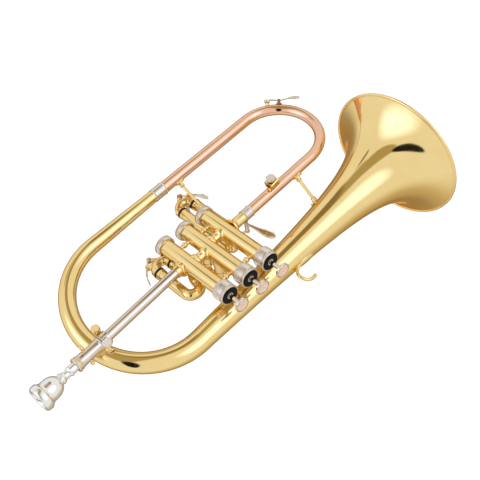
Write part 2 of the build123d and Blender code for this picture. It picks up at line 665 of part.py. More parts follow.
def make_mouthpiece():
    """Funnel-cup mouthpiece, turned: shank, collar, cup and rim."""
    shank = RECEIVER_END - SHANK_IN
    end = MOUTHPIECE_END
    shank_r = MOUTHPIPE_R - FIT
    with BuildPart() as mouthpiece:
        with BuildSketch(Plane(origin=lead(0), x_dir=_lead, z_dir=(0, -1, 0))):
            with BuildLine():
                Polyline((shank, 2.6), (shank, shank_r), (RECEIVER_END + 6.0, shank_r),
                         (RECEIVER_END + 8.5, 3.6), (RECEIVER_END + 13.0, 3.6))
                RadiusArc((RECEIVER_END + 13.0, 3.6), (RECEIVER_END + 15.5, 5.4), -2.6)
                Line((RECEIVER_END + 15.5, 5.4), (RECEIVER_END + 17.5, 5.4))
                Line((RECEIVER_END + 17.5, 5.4), (RECEIVER_END + 19.5, 5.0))
                Spline((RECEIVER_END + 19.5, 5.0), (RECEIVER_END + 25.0, 8.6), (end - 11.5, 10.4),
                       (end - 6.5, 10.6), tangents=((1, 0.1), (1, 0)))
                Spline((end - 6.5, 10.6), (end - 4.6, 11.6), (end - 3.6, RIM_R),
                       tangents=((1, 0), (0, 1)))
                Line((end - 3.6, RIM_R), (end - 1.2, RIM_R))
                Spline((end - 1.2, RIM_R), (end, RIM_R - 2.2), (end - 1.6, RIM_R - 4.6),
                       tangents=((1, 0), (-1, -0.35)))
                Spline((end - 1.6, RIM_R - 4.6), (end - 9.0, 6.6), (end - 19.0, 1.9),
                       tangents=((-1, -0.25), (-1, -0.3)))
                Line((end - 19.0, 1.9), (shank, 2.6))
            make_face()
        revolve(axis=Axis(lead(0), _lead))
    save(mouthpiece, "mouthpiece")


def filled(start, end, r_start, r_end):
    """Solid cone between two points, for trimming a foot that stands on a tube."""
    with BuildPart() as cone:
        for point, radius in ((start, r_start), (end, r_end)):
            with BuildSketch(Plane(origin=point, z_dir=end - start)):
                Circle(radius)
        loft()
    return cone.part


def post(start, end, trims, rod_r=1.7, flange_r=4.6, flanges=(None, None)):
    """Rod between two tubes with a round flange at each end, trimmed to both tubes."""
    heading = (end - start).normalized()
    length = (end - start).length
    with BuildPart() as rod:
        with BuildSketch(Plane(origin=start, z_dir=heading)):
            Circle(rod_r)
        extrude(amount=length)
        with BuildSketch(Plane(origin=start + heading * (length * 0.5 - 1.0), z_dir=heading)):
            Circle(rod_r + 0.9)
        extrude(amount=2.0)
        for place in flanges:
            if place is not None:
                with BuildSketch(Plane(origin=start + heading * (place - 3.0), z_dir=heading)):
                    Circle(flange_r)
                extrude(amount=4.0)
        for trim in trims:
            add(trim, mode=Mode.SUBTRACT)
    return rod.part


def make_braces():
    """Braces between the tubes, each a separate solid."""
    branch_point = along(130.0, BRANCH_Y, BRANCH_W)
    bell_point = along(122.0, BELL_Y, BELL_W)
    bell_body = filled(along(105.0, BELL_Y, BELL_W), along(140.0, BELL_Y, BELL_W), 19.65, 23.35)
    branch_body = filled(along(115.0, BRANCH_Y, BRANCH_W), along(145.0, BRANCH_Y, BRANCH_W), 5.8, 5.85)
    reach = (bell_point - branch_point).length
    bell_brace = post(branch_point, bell_point, (bell_body, branch_body), flanges=(7.3, reach - 21.6))

    lower_point = along(47.0, LOWER_Y, LOWER_W)
    leg_point = Vector(THIRD_X + SLIDE_GAP, SLIDE_Y, -62.0)
    lower_body = filled(along(35.0, LOWER_Y, LOWER_W), along(60.0, LOWER_Y, LOWER_W), 6.5, 6.48)
    leg_body = filled(leg_point + Vector(0, 0, 20), leg_point - Vector(0, 0, 17), TUBE_R, TUBE_R)
    reach = (leg_point - lower_point).length
    lower_brace = post(lower_point, leg_point, (lower_body, leg_body), flanges=(8.0, reach - 7.6),
                       flange_r=4.2)

    collar = lead(LEAD_END - CLAMP_LENGTH / 2)
    turn = 111.9
    half = Vector(0, (LOWER_Y - BELL_Y) / 2, (LOWER_W - BELL_W) / 2)
    centre = Vector(0, (LOWER_Y + BELL_Y) / 2, (LOWER_W + BELL_W) / 2) + half * cos(radians(turn))
    bow_point = along(REAR_U - half.length * sin(radians(turn)), centre.Y, centre.Z)
    run = half * (-sin(radians(turn)) / half.length)
    heading = _h * -cos(radians(turn)) + _y * run.Y + _w * run.Z
    bow_body = filled(bow_point - heading * 14, bow_point + heading * 14, 10.0, 10.5)
    pipe_body = filled(lead(80.0), lead(120.0), LEAD_R + 2.7, LEAD_R + 2.7)
    reach = (bow_point - collar).length
    lead_brace = post(collar, bow_point, (bow_body, pipe_body), rod_r=2.6, flange_r=4.6,
                      flanges=(reach - 9.0,))

    with BuildPart() as braces:
        add(bell_brace)
        add(lower_brace)
        add(lead_brace)
        for x, radius in ((VALVE_X[0], 12.62), (VALVE_X[2], 14.6)):
            start, end = Vector(x, 0, 25.5), along(x, BELL_Y, BELL_W)
            body = filled(along(x - 8, BELL_Y, BELL_W), along(x + 8, BELL_Y, BELL_W),
                          radius - 0.35, radius + 0.45)
            casing_body = filled(Vector(x, 0, 0), Vector(x, 0, 45), CASING_R + 0.02, CASING_R + 0.02)
            reach = (end - start).length
            add(post(start, end, (body, casing_body), rod_r=2.0, flange_r=3.6,
                     flanges=(9.6, reach - radius + 1.2)))
    save(braces, "braces")


# --- water keys ---------------------------------------------------------------------------
def key_parts(name, plane, reach, drop, tip, trim):
    """Saddle with its pin, nipple, lever and cork of one water key.

    In the key's own plane, x runs along the tube towards the thumb plate, and z away from it.
    """
    with BuildPart() as saddle:
        with Locations(plane):
            with Locations((0, 0, -0.6)):
                Box(6.4, 6.6, 2.6)
            for side in (-1, 1):
                with Locations((0, side * 2.7, 0.5)):
                    Box(3.4, 1.2, PIN_Z - 0.5, align=(Align.CENTER, Align.CENTER, Align.MIN))
                with Locations((0, side * 2.7, PIN_Z)):
                    Cylinder(1.7, 1.2, rotation=(90, 0, 0))
            with Locations((0, 0, PIN_Z)):
                Cylinder(0.8, 7.6, rotation=(90, 0, 0))
            with Locations((-reach, 0, 1.0)):
                Cylinder(2.3, drop + 2.0, align=(Align.CENTER, Align.CENTER, Align.MAX))
                Cylinder(1.1, 2 * drop + 8.0, mode=Mode.SUBTRACT)
        add(trim, mode=Mode.SUBTRACT)
    save(saddle, name + "_key_saddle")

    side_plane = Plane(origin=plane.origin + plane.y_dir * 4.0, x_dir=plane.x_dir,
                       z_dir=plane.y_dir * -1)
    plan = Plane(origin=plane.origin - plane.z_dir * 20, x_dir=plane.x_dir, z_dir=plane.z_dir)
    middle = (tip[0] * 0.5, PIN_Z + tip[1] * 0.25)
    with BuildPart() as lever:
        with Locations(plane):
            with Locations((0, 0, PIN_Z)):
                Cylinder(1.9, 3.9, rotation=(90, 0, 0))
            with Locations((-reach / 2 - 0.4, 0, PIN_Z + 0.4)):
                Box(reach - 0.8, 2.2, 1.6)
            with Locations((-reach, 0, 2.7)):
                Cylinder(3.2, 2.4, align=(Align.CENTER, Align.CENTER, Align.MIN))
        with BuildSketch(side_plane):
            with BuildLine():
                top = ThreePointArc((0.6, PIN_Z + 0.9), (middle[0], middle[1] + 1.1),
                                    (tip[0], PIN_Z + tip[1] + 0.5))
                under = ThreePointArc((0.6, PIN_Z - 0.4), (middle[0], middle[1] - 0.1),
                                      (tip[0], PIN_Z + tip[1] - 0.6))
                Line(top @ 0, under @ 0)
                Line(top @ 1, under @ 1)
            make_face()
        extrude(amount=8.0)
        with BuildSketch(plan):
            with BuildLine():
                Polyline((-reach - 4, 4.4), (-reach - 4, -4.4), (-2.5, -1.95), (tip[0] * 0.45, -1.7),
                         (tip[0] - 5.0, -3.6), (tip[0], -2.0), (tip[0], 2.0), (tip[0] - 5.0, 3.6),
                         (tip[0] * 0.45, 1.7), (-2.5, 1.95), (-reach - 4, 4.4))
            make_face()
        extrude(amount=40, mode=Mode.INTERSECT)
        with Locations(plane):
            with Locations((0, 0, PIN_Z)):
                Cylinder(0.8 + FIT, 20, rotation=(90, 0, 0), mode=Mode.SUBTRACT)
            with Locations((-reach, 0, 2.65)):
                Cylinder(2.75, 1.0, align=(Align.CENTER, Align.CENTER, Align.MIN), mode=Mode.SUBTRACT)
    save(lever, name + "_key_lever")

    with BuildPart() as cork:
        with Locations(plane):
            with Locations((-reach, 0, 1.05)):
                Cylinder(2.7, 2.55, align=(Align.CENTER, Align.CENTER, Align.MIN))
    save(cork, name + "_key_cork")


def make_water_keys():
    """Three water keys: on the front bow and on the bows of the first and third slides."""
    half = Vector(0, (BRANCH_Y - LOWER_Y) / 2, (BRANCH_W - LOWER_W) / 2)
    middle = Vector(0, (BRANCH_Y + LOWER_Y) / 2, (BRANCH_W + LOWER_W) / 2)
    normal = (_y * half.Y + _w * half.Z).cross(_h).normalized()
    if normal.Y < 0:
        normal = normal * -1
    turn = 128.0
    spoke = half * (cos(radians(turn)) / half.length)
    outward = _h * sin(radians(turn)) + _y * spoke.Y + _w * spoke.Z
    centre = along(FRONT_U, middle.Y, middle.Z)
    lean = 38.0
    up = outward * cos(radians(lean)) + normal * sin(radians(lean))
    tube_r = FRONT_R + (LOWER_R - FRONT_R) * turn / 180.0
    seat = centre + outward * half.length + up * tube_r
    forward = _h * cos(radians(turn)) - (_y * half.Y + _w * half.Z) * (sin(radians(turn)) / half.length)
    ring = Plane(origin=centre, x_dir=outward, z_dir=normal) * Torus(half.length, tube_r + 0.06)
    key_parts("main", Plane(origin=seat, x_dir=forward * -1, z_dir=up), 13.5, 1.6, (23.0, 3.0), ring)

    for name, x, end_z, side in (("first", FIRST_X, FIRST_END, -1), ("third", THIRD_X, THIRD_END, 1)):
        centre = Vector(x + SLIDE_GAP / 2, SLIDE_Y, end_z - BOW_DROP)
        up = Vector(side, 0, -1).normalized()
        seat = centre + up * (SLIDE_GAP / 2 + INNER_R)
        ring = Plane(origin=centre, x_dir=(1, 0, 0), z_dir=(0, 1, 0)) * Torus(SLIDE_GAP / 2, INNER_R + 0.03)
        key_parts(name, Plane(origin=seat, x_dir=(side, 0, 1), z_dir=up), 9.5, 3.6, (22.0, -5.5), ring)


# --- trigger, pinky hook and lyre holder ----------------------------------------------------
def across(y, x=TRIGGER_X, z=TRIGGER_Z):
    """Plane square to Y, facing the far side."""
    return Plane(origin=(x, y, z), x_dir=(1, 0, 0), z_dir=(0, -1, 0))


def make_trigger():
    """Third-slide trigger: bracket with its pin, lever, and the link on the slide."""
    with BuildPart() as bracket:
        with BuildSketch(across(-3.0)):
            Circle(2.3)
        extrude(amount=9.0)
        with BuildSketch(across(-12.0)):
            Circle(1.3)
        extrude(amount=17.0)
        with BuildSketch(across(-28.0)):
            Circle(2.3)
        extrude(amount=1.2)
        add(filled(along(50.0, BRANCH_Y, BRANCH_W), along(65.0, BRANCH_Y, BRANCH_W), 6.5, 6.5),
            mode=Mode.SUBTRACT)
    save(bracket, "trigger_bracket")

    with BuildPart() as lever:
        with BuildSketch(across(TRIGGER_Y[0])):
            Circle(2.6)
        extrude(amount=TRIGGER_Y[0] - TRIGGER_Y[1])
        with BuildSketch(across(ARM_Y + 1.6, 0, 0)):
            with Locations(((TRIGGER_X + LINK_X) / 2, TRIGGER_Z)):
                Rectangle(TRIGGER_X - LINK_X, 2.4)
            with Locations((LINK_X, TRIGGER_Z)):
                Circle(1.6)
        extrude(amount=3.0)
        with BuildSketch(across(-12.6, 0, 0)):
            with BuildLine():
                front = ThreePointArc((TRIGGER_X + 2.3, TRIGGER_Z), (TRIGGER_X + 2.4, 0),
                                      (TRIGGER_X + 7.2, 17.5))
                back = ThreePointArc((TRIGGER_X + 0.7, TRIGGER_Z), (TRIGGER_X + 0.9, 0),
                                     (TRIGGER_X + 5.9, 18.0))
                Line(front @ 0, back @ 0)
                Line(front @ 1, back @ 1)
            make_face()
        extrude(amount=9.0)
        with BuildSketch(Plane(origin=(0, -17.1, 0), x_dir=(0, 1, 0), z_dir=(1, 0, 0))):
            with BuildLine():
                Polyline((-11.0, TRIGGER_Z + 3), (-2.2, TRIGGER_Z + 3), (-2.4, -8.0), (-4.2, 8.0),
                         (-3.6, 15.0), (-1.6, 18.6), (1.6, 18.6), (3.6, 15.0), (4.2, 8.0), (2.4, -8.0),
                         (2.2, TRIGGER_Z + 3), (5.0, TRIGGER_Z + 3), (5.0, TRIGGER_Z - 4),
                         (-11.0, TRIGGER_Z - 4), (-11.0, TRIGGER_Z + 3))
            make_face()
        extrude(amount=90, mode=Mode.INTERSECT)
        with BuildSketch(across(0)):
            Circle(1.3 + FIT)
        extrude(amount=40, mode=Mode.SUBTRACT)
    save(lever, "trigger_lever")

    with BuildPart() as link:
        with Locations((LINK_X, ARM_Y, LINK_TOP)):
            Cylinder(2.2, 1.2, align=(Align.CENTER, Align.CENTER, Align.MAX))
            Cylinder(1.2, LINK_TOP - THIRD_END + 3.0, align=(Align.CENTER, Align.CENTER, Align.MAX))
        with Locations((LINK_X, (SLIDE_Y + ARM_Y) / 2 - 1.0, THIRD_END - 3.75)):
            Box(3.0, abs(SLIDE_Y - ARM_Y) + 2.0, 1.5)
        with Locations((LINK_X, SLIDE_Y, THIRD_END - 3.75)):
            Box(SLIDE_GAP - 2 * TUBE_R - 0.9, 3.4, 1.5)
    save(link, "trigger_link")


def make_pinky_hook():
    """Hook for the little finger: a foot on the bell and a curved wire."""
    bell_body = filled(along(40.0, BELL_Y, BELL_W), along(95.0, BELL_Y, BELL_W), 15.4, 19.1)
    foot = Vector(66.0, -33.5, 52.0)
    with BuildPart() as hook:
        with Locations(Plane(origin=foot, x_dir=_h, z_dir=(0, -0.18, 1))):
            Box(22.0, 5.0, 5.0)
        chamfer(hook.edges().filter_by(Axis(foot, (0, -0.18, 1))), 1.6)
        with BuildLine() as route:
            Spline((57.5, -34.0, 52.6), (51.0, -36.0, 59.5), (54.0, -39.5, 67.0), (67.0, -44.0, 66.5),
                   tangents=((-1, -0.2, 0.5), (1, -0.3, -0.5)))
        with BuildSketch(Plane(origin=route.line @ 0, x_dir=(0, 1, 0.2), z_dir=route.line % 0)):
            Ellipse(2.0, 1.4)
        sweep()
        with Locations(route.line @ 1):
            Sphere(1.75)
        add(bell_body, mode=Mode.SUBTRACT)
    save(hook, "pinky_hook")


def make_lyre_holder():
    """Socket for a music lyre on the side of the copper branch, and its thumb screw."""
    seat = along(LYRE_U, LYRE_Y, BRANCH_W)
    bore_line = _h * cos(radians(LYRE_TOE)) + _y * sin(radians(LYRE_TOE))
    outward = _w.cross(bore_line)
    mouth = Plane(origin=seat - bore_line * (LYRE_LENGTH / 2), x_dir=outward, z_dir=bore_line)
    with BuildPart() as holder:
        with BuildSketch(mouth):
            RectangleRounded(8.4, 11.0, 1.6)
            with Locations((-5.2, 0)):
                Rectangle(6.0, 4.4)
        extrude(amount=LYRE_LENGTH)
        with BuildSketch(mouth):
            Circle(LYRE_BORE)
        extrude(amount=LYRE_LENGTH, mode=Mode.SUBTRACT)
        with BuildSketch(Plane(origin=seat, x_dir=_w, z_dir=outward)):
            Circle(1.45)
        extrude(amount=8.0, mode=Mode.SUBTRACT)
        branch_body = filled(along(LYRE_U - 12, BRANCH_Y, BRANCH_W),
                             along(LYRE_U + 12, BRANCH_Y, BRANCH_W), 5.72, 5.78)
        add(branch_body, mode=Mode.SUBTRACT)
    save(holder, "lyre_holder")

    with BuildPart() as screw:
        with BuildSketch(Plane(origin=seat + outward * (LYRE_BORE + 0.25), x_dir=_w, z_dir=outward)):
            Circle(1.4)
        extrude(amount=5.0)
        with BuildSketch(Plane(origin=seat + outward * 4.5, x_dir=_w, z_dir=outward)):
            Circle(2.5)
        extrude(amount=1.1)
        with BuildSketch(Plane(origin=seat + outward * 5.6, x_dir=_w, z_dir=outward)):
            Circle(5.0)
        extrude(amount=2.8)
        fillet(screw.edges().filter_by(GeomType.CIRCLE).group_by(SortBy.RADIUS)[-1], 0.7)
    save(screw, "lyre_screw")


make_bell()
make_rear_bow()
make_copper_loop()
make_ferrule("lower_ferrule", FERRULE_U, LOWER_Y, LOWER_W, FERRULE_R + 0.1, 15.0)
make_ferrule("upper_ferrule", OUTLET_U + 5.0, BRANCH_Y, BRANCH_W, BRANCH_R + 0.05, 11.0)
for number in (1, 2, 3):
    make_casing(number)
    make_top_cap(number)
    make_piston(number)
    make_stem(number)
    make_spring(number)
make_bottom_caps()
make_cap_felts()
make_knuckles()
make_spacers()
make_outlet()
make_first_legs()
make_third_legs()
make_inner_slide("first_slide", FIRST_X, FIRST_END, FIRST_INSERT)
make_inner_slide("third_slide", THIRD_X, THIRD_END, THIRD_INSERT)
make_second_slide()
make_leadpipe()
make_clamp()
make_receiver()
make_mouthpiece()
make_braces()
make_water_keys()
make_trigger()
make_pinky_hook()
make_lyre_holder()
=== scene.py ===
import json
import math

import bpy
from mathutils import Matrix, Vector

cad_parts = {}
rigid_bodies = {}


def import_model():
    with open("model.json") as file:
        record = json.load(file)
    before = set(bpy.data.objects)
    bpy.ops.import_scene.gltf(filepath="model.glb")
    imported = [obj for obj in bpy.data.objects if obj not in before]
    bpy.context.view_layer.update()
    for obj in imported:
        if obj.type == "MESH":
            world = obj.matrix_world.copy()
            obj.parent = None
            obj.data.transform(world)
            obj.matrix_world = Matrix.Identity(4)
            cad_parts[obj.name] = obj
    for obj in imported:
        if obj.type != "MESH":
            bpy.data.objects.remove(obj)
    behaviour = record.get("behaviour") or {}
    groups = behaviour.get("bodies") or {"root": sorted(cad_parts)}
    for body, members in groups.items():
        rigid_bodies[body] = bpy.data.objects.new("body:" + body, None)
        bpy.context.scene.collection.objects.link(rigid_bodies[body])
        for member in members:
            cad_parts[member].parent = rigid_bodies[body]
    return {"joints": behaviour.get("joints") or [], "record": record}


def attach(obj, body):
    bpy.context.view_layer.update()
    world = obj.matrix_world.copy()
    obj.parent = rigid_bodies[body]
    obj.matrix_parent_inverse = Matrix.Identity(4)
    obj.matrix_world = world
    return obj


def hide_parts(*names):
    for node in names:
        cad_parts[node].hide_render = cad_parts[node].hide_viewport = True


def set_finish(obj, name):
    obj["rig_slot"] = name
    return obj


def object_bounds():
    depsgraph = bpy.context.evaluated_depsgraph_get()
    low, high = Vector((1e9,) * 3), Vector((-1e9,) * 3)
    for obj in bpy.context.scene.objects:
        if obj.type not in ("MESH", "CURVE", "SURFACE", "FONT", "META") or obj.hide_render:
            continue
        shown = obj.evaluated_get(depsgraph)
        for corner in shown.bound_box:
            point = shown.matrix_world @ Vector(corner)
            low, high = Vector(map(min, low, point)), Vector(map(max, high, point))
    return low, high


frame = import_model()
cad_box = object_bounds()

# --- the instrument's own lines, in millimetres, as the CAD has them -------------------------
MM = 0.001
HORN_TILT = math.radians(4.0)
ALONG = Vector((math.cos(HORN_TILT), 0, -math.sin(HORN_TILT)))
SQUARE = Vector((math.sin(HORN_TILT), 0, math.cos(HORN_TILT)))
LEFT = Vector((0, 1, 0))
LEAD_TILT = math.radians(5.5)
LEAD = Vector((-math.cos(LEAD_TILT), 0, math.sin(LEAD_TILT)))
LEAD_START = Vector((-34.5, 0, -11.8))
WALL = 0.6
BRANCH, LOWER, BELL = (0.0, -10.3), (7.5, -103.0), (-32.4, 40.3)
FRONT_U, REAR_U, FERRULE_U, OUTLET_U, BELL_U = 158.0, -70.0, 21.5, 52.0, 240.5
RIM_RADIUS, RIM_BEAD = 78.0, 1.7
VALVE_PITCH = 26.5
VALVES_X = (-VALVE_PITCH, 0.0, VALVE_PITCH)
CASING_R = 8.3
THIRD_LEG_X, SLIDE_Y = 40.5, -17.2      # outer leg of the third slide
CLAMP_AT, LOCK_AT = 102.5, 124.0        # clamp and receiver's cross rod, along the leadpipe
LEAD_UP = Vector((LEAD.z, 0, -LEAD.x))
LOCK_SIDE = (LEAD_UP * 0.536 - LEFT * 0.844).normalized()   # the way the cross rod points


def horn(u, y, w):
    """Point u along the horn, y to the left and w square to both, in millimetres."""
    return ALONG * u + LEFT * y + SQUARE * w


def joint_line(name):
    """A joint's point in millimetres and its axis, as the frame has them."""
    joint = next(j for j in frame["joints"] if j["name"] == name)
    return Vector(joint["pos_m"]) / MM, Vector(joint["axis"])


def bell_radius(u):
    """Outer radius of the bell: a Bessel horn on a slight cone."""
    return 6.985 + 0.0105 * u + 4517.2 * (276.27 - u) ** -1.1609


# --- mesh building ---------------------------------------------------------------------------
def make_piece(name, verts, faces, body, slot, stands_for=()):
    """A smooth mesh piece from points in millimetres, riding on one body."""
    mesh = bpy.data.meshes.new(name)
    mesh.from_pydata([tuple(v * MM) for v in verts], [], faces)
    mesh.update()
    for polygon in mesh.polygons:
        polygon.use_smooth = True
    piece = bpy.data.objects.new(name, mesh)
    bpy.context.scene.collection.objects.link(piece)
    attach(piece, body)
    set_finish(piece, slot)
    if stands_for:
        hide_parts(*stands_for)
    return piece


def crease(piece, degrees=32):
    """Keep sharp the edges that turn by more than this."""
    mesh = piece.data
    mesh.set_sharp_from_angle(angle=math.radians(degrees))


def ring_of(centre, side, other, radius, count, ripple=None):
    """Points round a circle; ripple(angle) adds to the radius."""
    points = []
    for step in range(count):
        angle = 2 * math.pi * step / count
        r = radius + (ripple(angle) if ripple else 0.0)
        points.append(centre + (side * math.cos(angle) + other * math.sin(angle)) * r)
    return points


def join_rings(rings, closed):
    """Quads between rings of equal size; closed joins the last ring to the first."""
    count = len(rings[0])
    verts = [p for ring in rings for p in ring]
    faces = []
    last = len(rings) if closed else len(rings) - 1
    for row in range(last):
        a, b = row * count, ((row + 1) % len(rings)) * count
        for k in range(count):
            n = (k + 1) % count
            faces.append((a + k, a + n, b + n, b + k))
    return verts, faces


def lathe(origin, axis, profile, count=96, closed=True, ripples=None):
    """Turn a profile of (distance along the axis, radius) about the axis.

    ripples maps a profile index to a function of the angle that is added to its radius.
    """
    side = LEFT if abs(axis.dot(LEFT)) < 0.9 else Vector((1, 0, 0))
    side = (side - axis * side.dot(axis)).normalized()
    other = axis.cross(side)
    rings = []
    for index, (along, radius) in enumerate(profile):
        ripple = ripples.get(index) if ripples else None
        rings.append(ring_of(origin + axis * along, side, other, radius, count, ripple))
    return join_rings(rings, closed)


def merge(*parts):
    """Several (verts, faces) as one."""
    verts, faces = [], []
    for some_verts, some_faces in parts:
        base = len(verts)
        verts += some_verts
        faces += [tuple(base + i for i in face) for face in some_faces]
    return verts, faces


def arc(centre, radius, start, end, count):
    """Points of a profile's round stretch; angles in degrees from the axis direction."""
    points = []
    for step in range(count + 1):
        angle = math.radians(start + (end - start) * step / count)
        points.append((centre[0] + radius * math.cos(angle), centre[1] + radius * math.sin(angle)))
    return points


def smooth_profile(points, per_span=10):
    """A natural cubic spline through (distance, radius) points."""
    n = len(points)
    t = [0.0]
    for a, b in zip(points, points[1:]):
        t.append(t[-1] + math.dist(a, b))
    columns = []
    for k in (0, 1):
        v = [p[k] for p in points]
        h = [t[i + 1] - t[i] for i in range(n - 1)]
        alpha = [0.0]
        for i in range(1, n - 1):
            alpha.append(3 * ((v[i + 1] - v[i]) / h[i] - (v[i] - v[i - 1]) / h[i - 1]))
        low, mu, z = [1.0], [0.0], [0.0]
        for i in range(1, n - 1):
            low.append(2 * (t[i + 1] - t[i - 1]) - h[i - 1] * mu[i - 1])
            mu.append(h[i] / low[i])
            z.append((alpha[i] - h[i - 1] * z[i - 1]) / low[i])
        c = [0.0] * n
        for i in range(n - 2, 0, -1):
            c[i] = z[i] - mu[i] * c[i + 1]
        values = []
        for i in range(n - 1):
            b = (v[i + 1] - v[i]) / h[i] - h[i] * (c[i + 1] + 2 * c[i]) / 3
            d = (c[i + 1] - c[i]) / (3 * h[i])
            for step in range(per_span + (i == n - 2)):
                x = h[i] * step / per_span
                values.append(v[i] + b * x + c[i] * x * x + d * x ** 3)
        columns.append(values)
    return list(zip(*columns))


def tube_piece(name, stations, side, body, slot, stands_for, wall=WALL, count=72):
    """Hollow tube through stations of (centre, heading, radius)."""
    outer, inner = [], []
    for centre, heading, radius in stations:
        across = (side - heading * side.dot(heading)).normalized()
        other = heading.cross(across)
        outer.append(ring_of(centre, across, other, radius, count))
        inner.append(ring_of(centre, across, other, radius - wall, count))
    verts, faces = join_rings(outer + inner[::-1], True)
    piece = make_piece(name, verts, faces, body, slot, stands_for)
    crease(piece, 50)
    return piece


# --- horn tubes --------------------------------------------------------------------------------
def bow_stations(start, end, u, outward, radius_at, count):
    """Stations round a half turn between two parallel tubes."""
    middle = Vector((0, (start[0] + end[0]) / 2, (start[1] + end[1]) / 2))
    spoke = Vector((0, (start[0] - end[0]) / 2, (start[1] - end[1]) / 2))
    size = spoke.length
    stations = []
    for step in range(count + 1):
        turn = math.pi * step / count
        part = middle + spoke * math.cos(turn)
        centre = horn(u + outward * size * math.sin(turn), part.y, part.z)
        run = spoke * (-math.sin(turn) / size)
        heading = ALONG * (outward * math.cos(turn)) + LEFT * run.y + SQUARE * run.z
        stations.append((centre, heading.normalized(), radius_at(step / count)))
    side = (LEFT * spoke.y + SQUARE * spoke.z).cross(ALONG).normalized()
    return stations, side


def run_stations(u0, u1, place, r0, r1, count):
    """Stations along a straight tube of the horn, without its last one."""
    heading = ALONG if u1 > u0 else -ALONG
    found = []
    for step in range(count):
        t = step / count
        found.append((horn(u0 + (u1 - u0) * t, *place), heading, r0 + (r1 - r0) * t))
    return found


def make_bell():
    """Bell with its rolled rim, one skin outside and one inside."""
    outer = []
    steps = 150
    last_u = BELL_U - 2.25
    for step in range(steps + 1):
        t = step / steps
        u = REAR_U + (last_u - REAR_U) * (1 - (1 - t) ** 1.9)
        outer.append((u, bell_radius(u)))
    bead = (BELL_U - RIM_BEAD, RIM_RADIUS - RIM_BEAD)
    rim = arc(bead, RIM_BEAD, 200, -70, 26)
    inner = []
    for u, r in reversed(outer[:-2]):
        slope = (bell_radius(u + 0.5) - bell_radius(u - 0.5))
        size = math.hypot(1, slope)
        inner.append((u + WALL * slope / size, r - WALL / size))
    verts, faces = lathe(horn(0, *BELL), ALONG, outer + rim + inner, count=224)
    piece = make_piece("bell_brass", verts, faces, "valve_block", "lacquered_brass", ("bell", "bell_stem"))
    crease(piece, 60)
    return piece


def make_rear_bow():
    """Lower brass tube and the half turn into the bell's stem, widening all the way."""
    stations = run_stations(FERRULE_U, REAR_U, LOWER, 6.5, 8.1, 14)
    turn, side = bow_stations(LOWER, BELL, REAR_U, -1, lambda t: 8.1 + 2.3 * t + 1.0 * t * t, 110)
    return tube_piece("rear_bow_brass", stations + turn, side, "valve_block", "lacquered_brass",
                      ("rear_bow",), count=96)


def make_copper_loop():
    """Copper branch, front bow and the copper part of the lower tube."""
    stations = run_stations(OUTLET_U, FRONT_U, BRANCH, 5.6, 5.8, 16)
    turn, side = bow_stations(BRANCH, LOWER, FRONT_U, 1, lambda t: 5.8 + 0.4 * t, 96)
    back = run_stations(FRONT_U, FERRULE_U, LOWER, 6.2, 6.5, 20)[1:]
    end = (horn(FERRULE_U, *LOWER), -ALONG, 6.5)
    return tube_piece("loop_copper", stations + turn + back + [end], side, "valve_block", "rose_copper",
                      ("copper_loop",), count=72)


# --- valve caps and their felts ----------------------------------------------------------------
def knurl(teeth, depth):
    """Straight knurling: flat-topped teeth round a cap."""
    return lambda angle: depth * (max(min(1.6 * math.cos(teeth * angle), 1.0), -1.0) - 1.0) / 2


CAP_R, CAP_FACE, CAP_BORE = 10.6, 49.8, 8.35
TEETH = 30
TOOTH_DEPTH = 0.6
RECESS_R = 8.9               # recess for the felt in a top cap


def cap_profile(height, hole):
    """Profile of a valve cap from the mouth to its face, and which of its points are knurled."""
    band_low, band_high = 1.5, height - 4.0
    outside = [(0.0, CAP_BORE + 0.9), (0.35, CAP_R - 0.55), (0.9, CAP_R - 0.35), (1.2, CAP_R - 0.75)]
    band = [(band_low, CAP_R - 0.12)]
    band += [(band_low + (band_high - band_low) * k / 4, CAP_R) for k in range(1, 4)]
    band += [(band_high, CAP_R - 0.12)]
    lip = [(band_high + 0.3, CAP_R - 0.85), (band_high + 0.7, CAP_R - 0.85)]
    lip += arc((height - 2.9, CAP_R - 0.75), 0.5, 160, 20, 8) + [(height - 2.2, CAP_R - 0.45)]
    lip += arc((height - 0.95, CAP_R - 0.95), 0.95, 110, 0, 14)
    face = [(height - 0.05, RECESS_R + 0.2), (height - 0.3, RECESS_R), (height - 1.0, RECESS_R),
            (height - 1.0, hole), (height - 3.8, hole), (height - 3.8, CAP_BORE), (0.0, CAP_BORE)]
    profile = outside + band + lip + face
    knurled = range(len(outside), len(outside) + len(band))
    return profile, knurled


def make_top_cap(valve):
    """Knurled top cap with a recess for its felt."""
    profile, knurled = cap_profile(14.0, 2.4)
    tooth = knurl(TEETH, TOOTH_DEPTH)
    ripples = {index: tooth for index in knurled}
    origin = Vector((VALVES_X[valve - 1], 0, CAP_FACE - 14.0))
    verts, faces = lathe(origin, Vector((0, 0, 1)), profile, TEETH * 6, True, ripples)
    piece = make_piece(f"top_cap_{valve}_knurled", verts, faces, "valve_block", "nickel_silver",
                       (f"top_cap_{valve}",))
    crease(piece, 35)
    return piece


